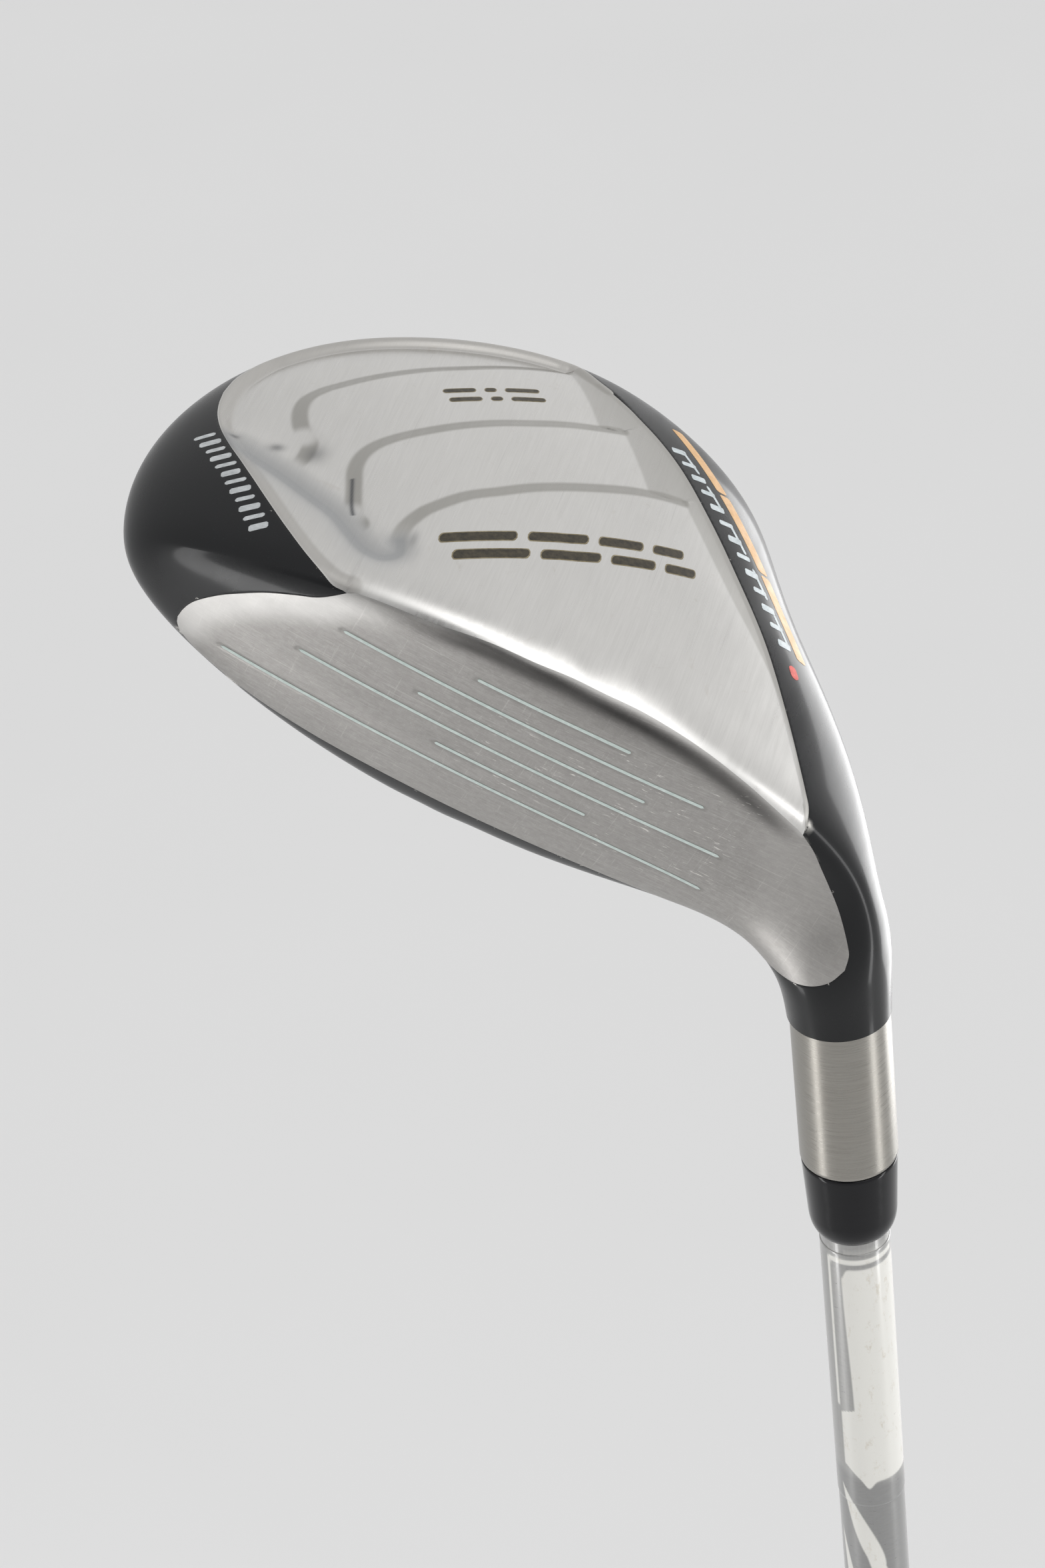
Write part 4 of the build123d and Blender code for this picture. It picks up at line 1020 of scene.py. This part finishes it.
tab = {"cream": cream_mask, "dark": dark_mask}
zs = np.r_[np.arange(266, 420, 3.0), np.arange(420, 560, 1.0), np.arange(560, 860, 3.0), np.arange(860, 918.01, 0.25), np.arange(919, 1000, 4.0), 1004.0]
zs = np.r_[4.0, 60, 154, 200, 240, zs]
prof = [(float(shaft_r(z)), float(z)) for z in zs]
keep(lathe("shaft_tube", prof, m_shaft, 288, tab), ["shaft"])
tip_prof = [(4.26, 962.02), (4.31, 962.0)] + [(4.35, z) for z in np.arange(961.9, 918.1, -0.2)] + [(4.31, 918.0), (4.26, 917.98)]
keep(lathe("tip_print", tip_prof, m_shaft, 288, tab), ["shaft_tip_label"])
upz = np.arange(421, 559.5, 0.8)
up_prof = [(float(shaft_r(420.05)) + 0.02, 420.05)] + [(float(shaft_r(z)) + 0.09, float(z)) for z in upz] + [(float(shaft_r(559.95)) + 0.02, 559.95)]
keep(lathe("upper_print", up_prof, m_shaft, 192, tab), ["shaft_upper_label"])

gz = [(4.0, 13.2), (12, 12.95), (35, 12.45), (85, 11.7), (140, 10.85), (200, 9.9), (245, 9.15), (264, 8.9)]
gcurve = smooth_line(gz)


def grip_shift(r, A, z):
    zone = sstep(14, 18, z) * (1 - sstep(238, 243, z))
    ph = A * 26.0
    tw = 2 * math.pi * z / 7.2
    dots = np.clip(np.sin(ph / 2 + tw) * np.sin(ph / 2 - tw) * 1.6, -1, 1)
    clear = 0.5 + 0.5 * np.tanh((np.abs(((z - 20) % 44) - 22) - 3.0) * 2)
    ribs = 0.5 - 0.5 * np.cos(2 * math.pi * z / 2.4)
    rib = np.exp(-((((A + 0.0) % (2 * math.pi)) - math.pi / 2) / 0.10) ** 2)
    return r - zone * (0.20 * (0.5 + 0.5 * dots) * clear + 0.14 * ribs * (1 - clear)) - 0.05 - 0.12 * rib * zone


gp = [(float(np.interp(z, gcurve[:, 0], gcurve[:, 1])), float(z)) for z in np.arange(4.0, 264.01, 0.45)]
gp = [q for q in gp if not (251.9 < q[1] < 253.3 or 254.9 < q[1] < 256.3)]
gp += [(8.88, 252.0), (8.72, 252.02), (8.72, 253.18), (8.88, 253.2), (8.86, 255.0), (8.72, 255.02), (8.72, 256.18), (8.86, 256.2)]
gp.sort(key=lambda q: q[1])
gp = [(12.0, 3.98)] + gp + [(8.80, 264.8), (8.60, 266.2), (8.36, 267.3), (8.20, 267.95), (7.2, 268.0)]
keep(lathe("grip_rubber", gp, m_rub, 312, shift=grip_shift), ["grip_sleeve"])
for i, z in enumerate((252.0, 255.0)):
    rp = [(8.70, z + 0.02), (8.80, z + 0.03), (8.88, z + 0.12), (8.90, z + 0.3), (8.90, z + 0.9), (8.88, z + 1.08), (8.80, z + 1.17), (8.70, z + 1.18)]
    keep(lathe("grip_ring_%d" % (i + 1), rp, m_ring, 192), ["grip_ring_fill"])
cp = [(1.12, 3.9), (1.12, 0.35), (1.25, 0.10), (1.5, 0.02), (2.6, 0.0), (3.0, 0.18), (3.6, 0.18), (4.0, 0.0), (8.2, 0.0), (8.5, 0.25), (9.1, 0.25), (9.4, 0.0), (11.9, 0.0),
      (12.6, 0.12), (13.1, 0.45), (13.45, 0.95), (13.58, 1.5), (13.6, 2.2), (13.6, 3.2), (13.56, 3.6), (13.35, 3.95), (12.0, 4.0)]
keep(lathe("grip_cap_end", dense(cp, 0.35), m_cap, 256), ["grip_cap"])

# ------------------------------------------------------------ CAD nodes that stay: inside the head, the hosel and the grip
inner = {
    "sole_weight": cad_material("sole_weight_finish", (0.35, 0.33, 0.30), (0.5, 0.48, 0.45), 1.0, 0.4),
    "hot_melt": cad_material("hot_melt_finish", (0.45, 0.36, 0.20), (0.60, 0.50, 0.32), 0.0, 0.4),
    "hosel_plug": cad_material("hosel_plug_finish", (0.12, 0.12, 0.11), (0.2, 0.19, 0.18), 0.0, 0.6),
    "hosel_epoxy": cad_material("hosel_epoxy_finish", (0.30, 0.27, 0.18), (0.42, 0.38, 0.27), 0.0, 0.35),
    "tip_weight": cad_material("tip_weight_finish", (0.40, 0.33, 0.18), (0.55, 0.47, 0.28), 1.0, 0.35),
    "grip_tape": cad_material("grip_tape_finish", (0.62, 0.57, 0.45), (0.75, 0.70, 0.58), 0.0, 0.7),
}
for n, m in inner.items():
    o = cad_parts[n]
    o.data.materials.clear()
    o.data.materials.append(m)

# ------------------------------------------------------------ floor and light
def floor():
    k = Mat("floor_finish")
    tc = k.t.nodes.new("ShaderNodeTexCoord").outputs["Object"]
    n = k.noise(tc, 3.0, 3)
    k.set(k.b, Base_Color=k.mix(n, (0.80, 0.80, 0.80), (0.83, 0.83, 0.83)), Roughness=0.7, Specular_IOR_Level=0.2)
    nseg = 40
    gx = np.linspace(-9000, 9000, nseg)
    V = np.array([(x, y, -0.5) for x in gx for y in gx])
    return make("studio_floor", V, grid_faces(nseg, nseg), k.m, row=True, outward=np.tile([0, 0, 1.0], (len(V), 1)))


floor()

w = bpy.data.worlds.new("studio_world")
bpy.context.scene.world = w
w.use_nodes = True
wt = w.node_tree
wt.nodes.clear()
wo = wt.nodes.new("ShaderNodeOutputWorld")
bg = wt.nodes.new("ShaderNodeBackground")
wt.links.new(bg.outputs[0], wo.inputs[0])
tc = wt.nodes.new("ShaderNodeTexCoord")


def lobe(d, inner_deg, outer_deg, value):
    d = np.array(d, float)
    d /= np.linalg.norm(d)
    vm = wt.nodes.new("ShaderNodeVectorMath")
    vm.operation = "DOT_PRODUCT"
    wt.links.new(tc.outputs["Generated"], vm.inputs[0])
    vm.inputs[1].default_value = tuple(d)
    mr = wt.nodes.new("ShaderNodeMapRange")
    mr.interpolation_type = "SMOOTHSTEP"
    wt.links.new(vm.outputs["Value"], mr.inputs["Value"])
    mr.inputs["From Min"].default_value = math.cos(R_(outer_deg))
    mr.inputs["From Max"].default_value = math.cos(R_(inner_deg))
    mr.inputs["To Min"].default_value = 0.0
    mr.inputs["To Max"].default_value = value
    return mr.outputs[0]


def wmath(op, a, b):
    n = wt.nodes.new("ShaderNodeMath")
    n.operation = op
    for s, v in ((n.inputs[0], a), (n.inputs[1], b)):
        if isinstance(v, bpy.types.NodeSocket):
            wt.links.new(v, s)
        else:
            s.default_value = v
    return n.outputs[0]


level = wmath("ADD", lobe((0.53, -0.38, 0.76), 8, 34, 1.15), 0.70)
level = wmath("MULTIPLY", level, wmath("SUBTRACT", 1.0, lobe((0.05, -1.0, -0.05), 10, 48, 0.80)))
level = wmath("ADD", level, lobe((0.45, 0.85, 0.25), 10, 60, 0.12))
wt.links.new(level, bg.inputs["Strength"])
bg.inputs["Color"].default_value = (1.0, 1.0, 1.0, 1.0)


def area(name, loc, target, sx, sy, power):
    li = bpy.data.lights.new(name, "AREA")
    li.shape = "RECTANGLE"
    li.size, li.size_y = sx, sy
    li.energy = power
    o = bpy.data.objects.new(name, li)
    bpy.context.scene.collection.objects.link(o)
    from mathutils import Vector
    d = Vector(target) - Vector(loc)
    o.location = loc
    o.rotation_euler = d.to_track_quat("-Z", "Y").to_euler()
    o.visible_camera = False
    return o


def around(deg, dist, z):
    a = VIEW + R_(deg)
    return (dist * math.cos(a), dist * math.sin(a), z)


area("strip_left", around(-72, 1.0, 0.72), (0, 0, 0.95), 0.16, 1.2, 2.6)
area("strip_right", around(68, 1.0, 0.72), (0, 0, 0.95), 0.16, 1.2, 2.6)
area("panel_back", (0.36, 0.63, 0.74), (-0.03, 0.02, 1.03), 0.55, 0.60, 4.0)

# ------------------------------------------------------------ camera
az, el, dist, roll = R_(6.1226), R_(-38.358), 430.365, R_(30.3955)
T = np.array([-9.8116, 20.0, 34.985])
v = np.array([math.sin(az) * math.cos(el), -math.cos(az) * math.cos(el), math.sin(el)])
pos = T + v * dist
wv = -v
up0 = np.array([0, 0, -1.0])
r = np.cross(wv, up0)
r /= np.linalg.norm(r)
u = np.cross(r, wv)
r2 = math.cos(roll) * r + math.sin(roll) * u
u2 = -math.sin(roll) * r + math.cos(roll) * u
cam = bpy.data.cameras.new("photo_camera")
cam.sensor_fit = "VERTICAL"
cam.sensor_height = 36.0
cam.lens = 5506.8 * 36.0 / 2352.0
cam.clip_start, cam.clip_end = 0.01, 60.0
co = bpy.data.objects.new("photo_camera", cam)
bpy.context.scene.collection.objects.link(co)
from mathutils import Matrix
Rm = np.stack([M @ r2, M @ u2, M @ v], -1)
loc = to_row(pos[None])[0]
mw = np.eye(4)
mw[:3, :3] = Rm
mw[:3, 3] = loc
co.matrix_world = Matrix(mw.tolist())
bpy.context.scene.camera = co
bpy.context.scene.view_settings.view_transform = "Standard"
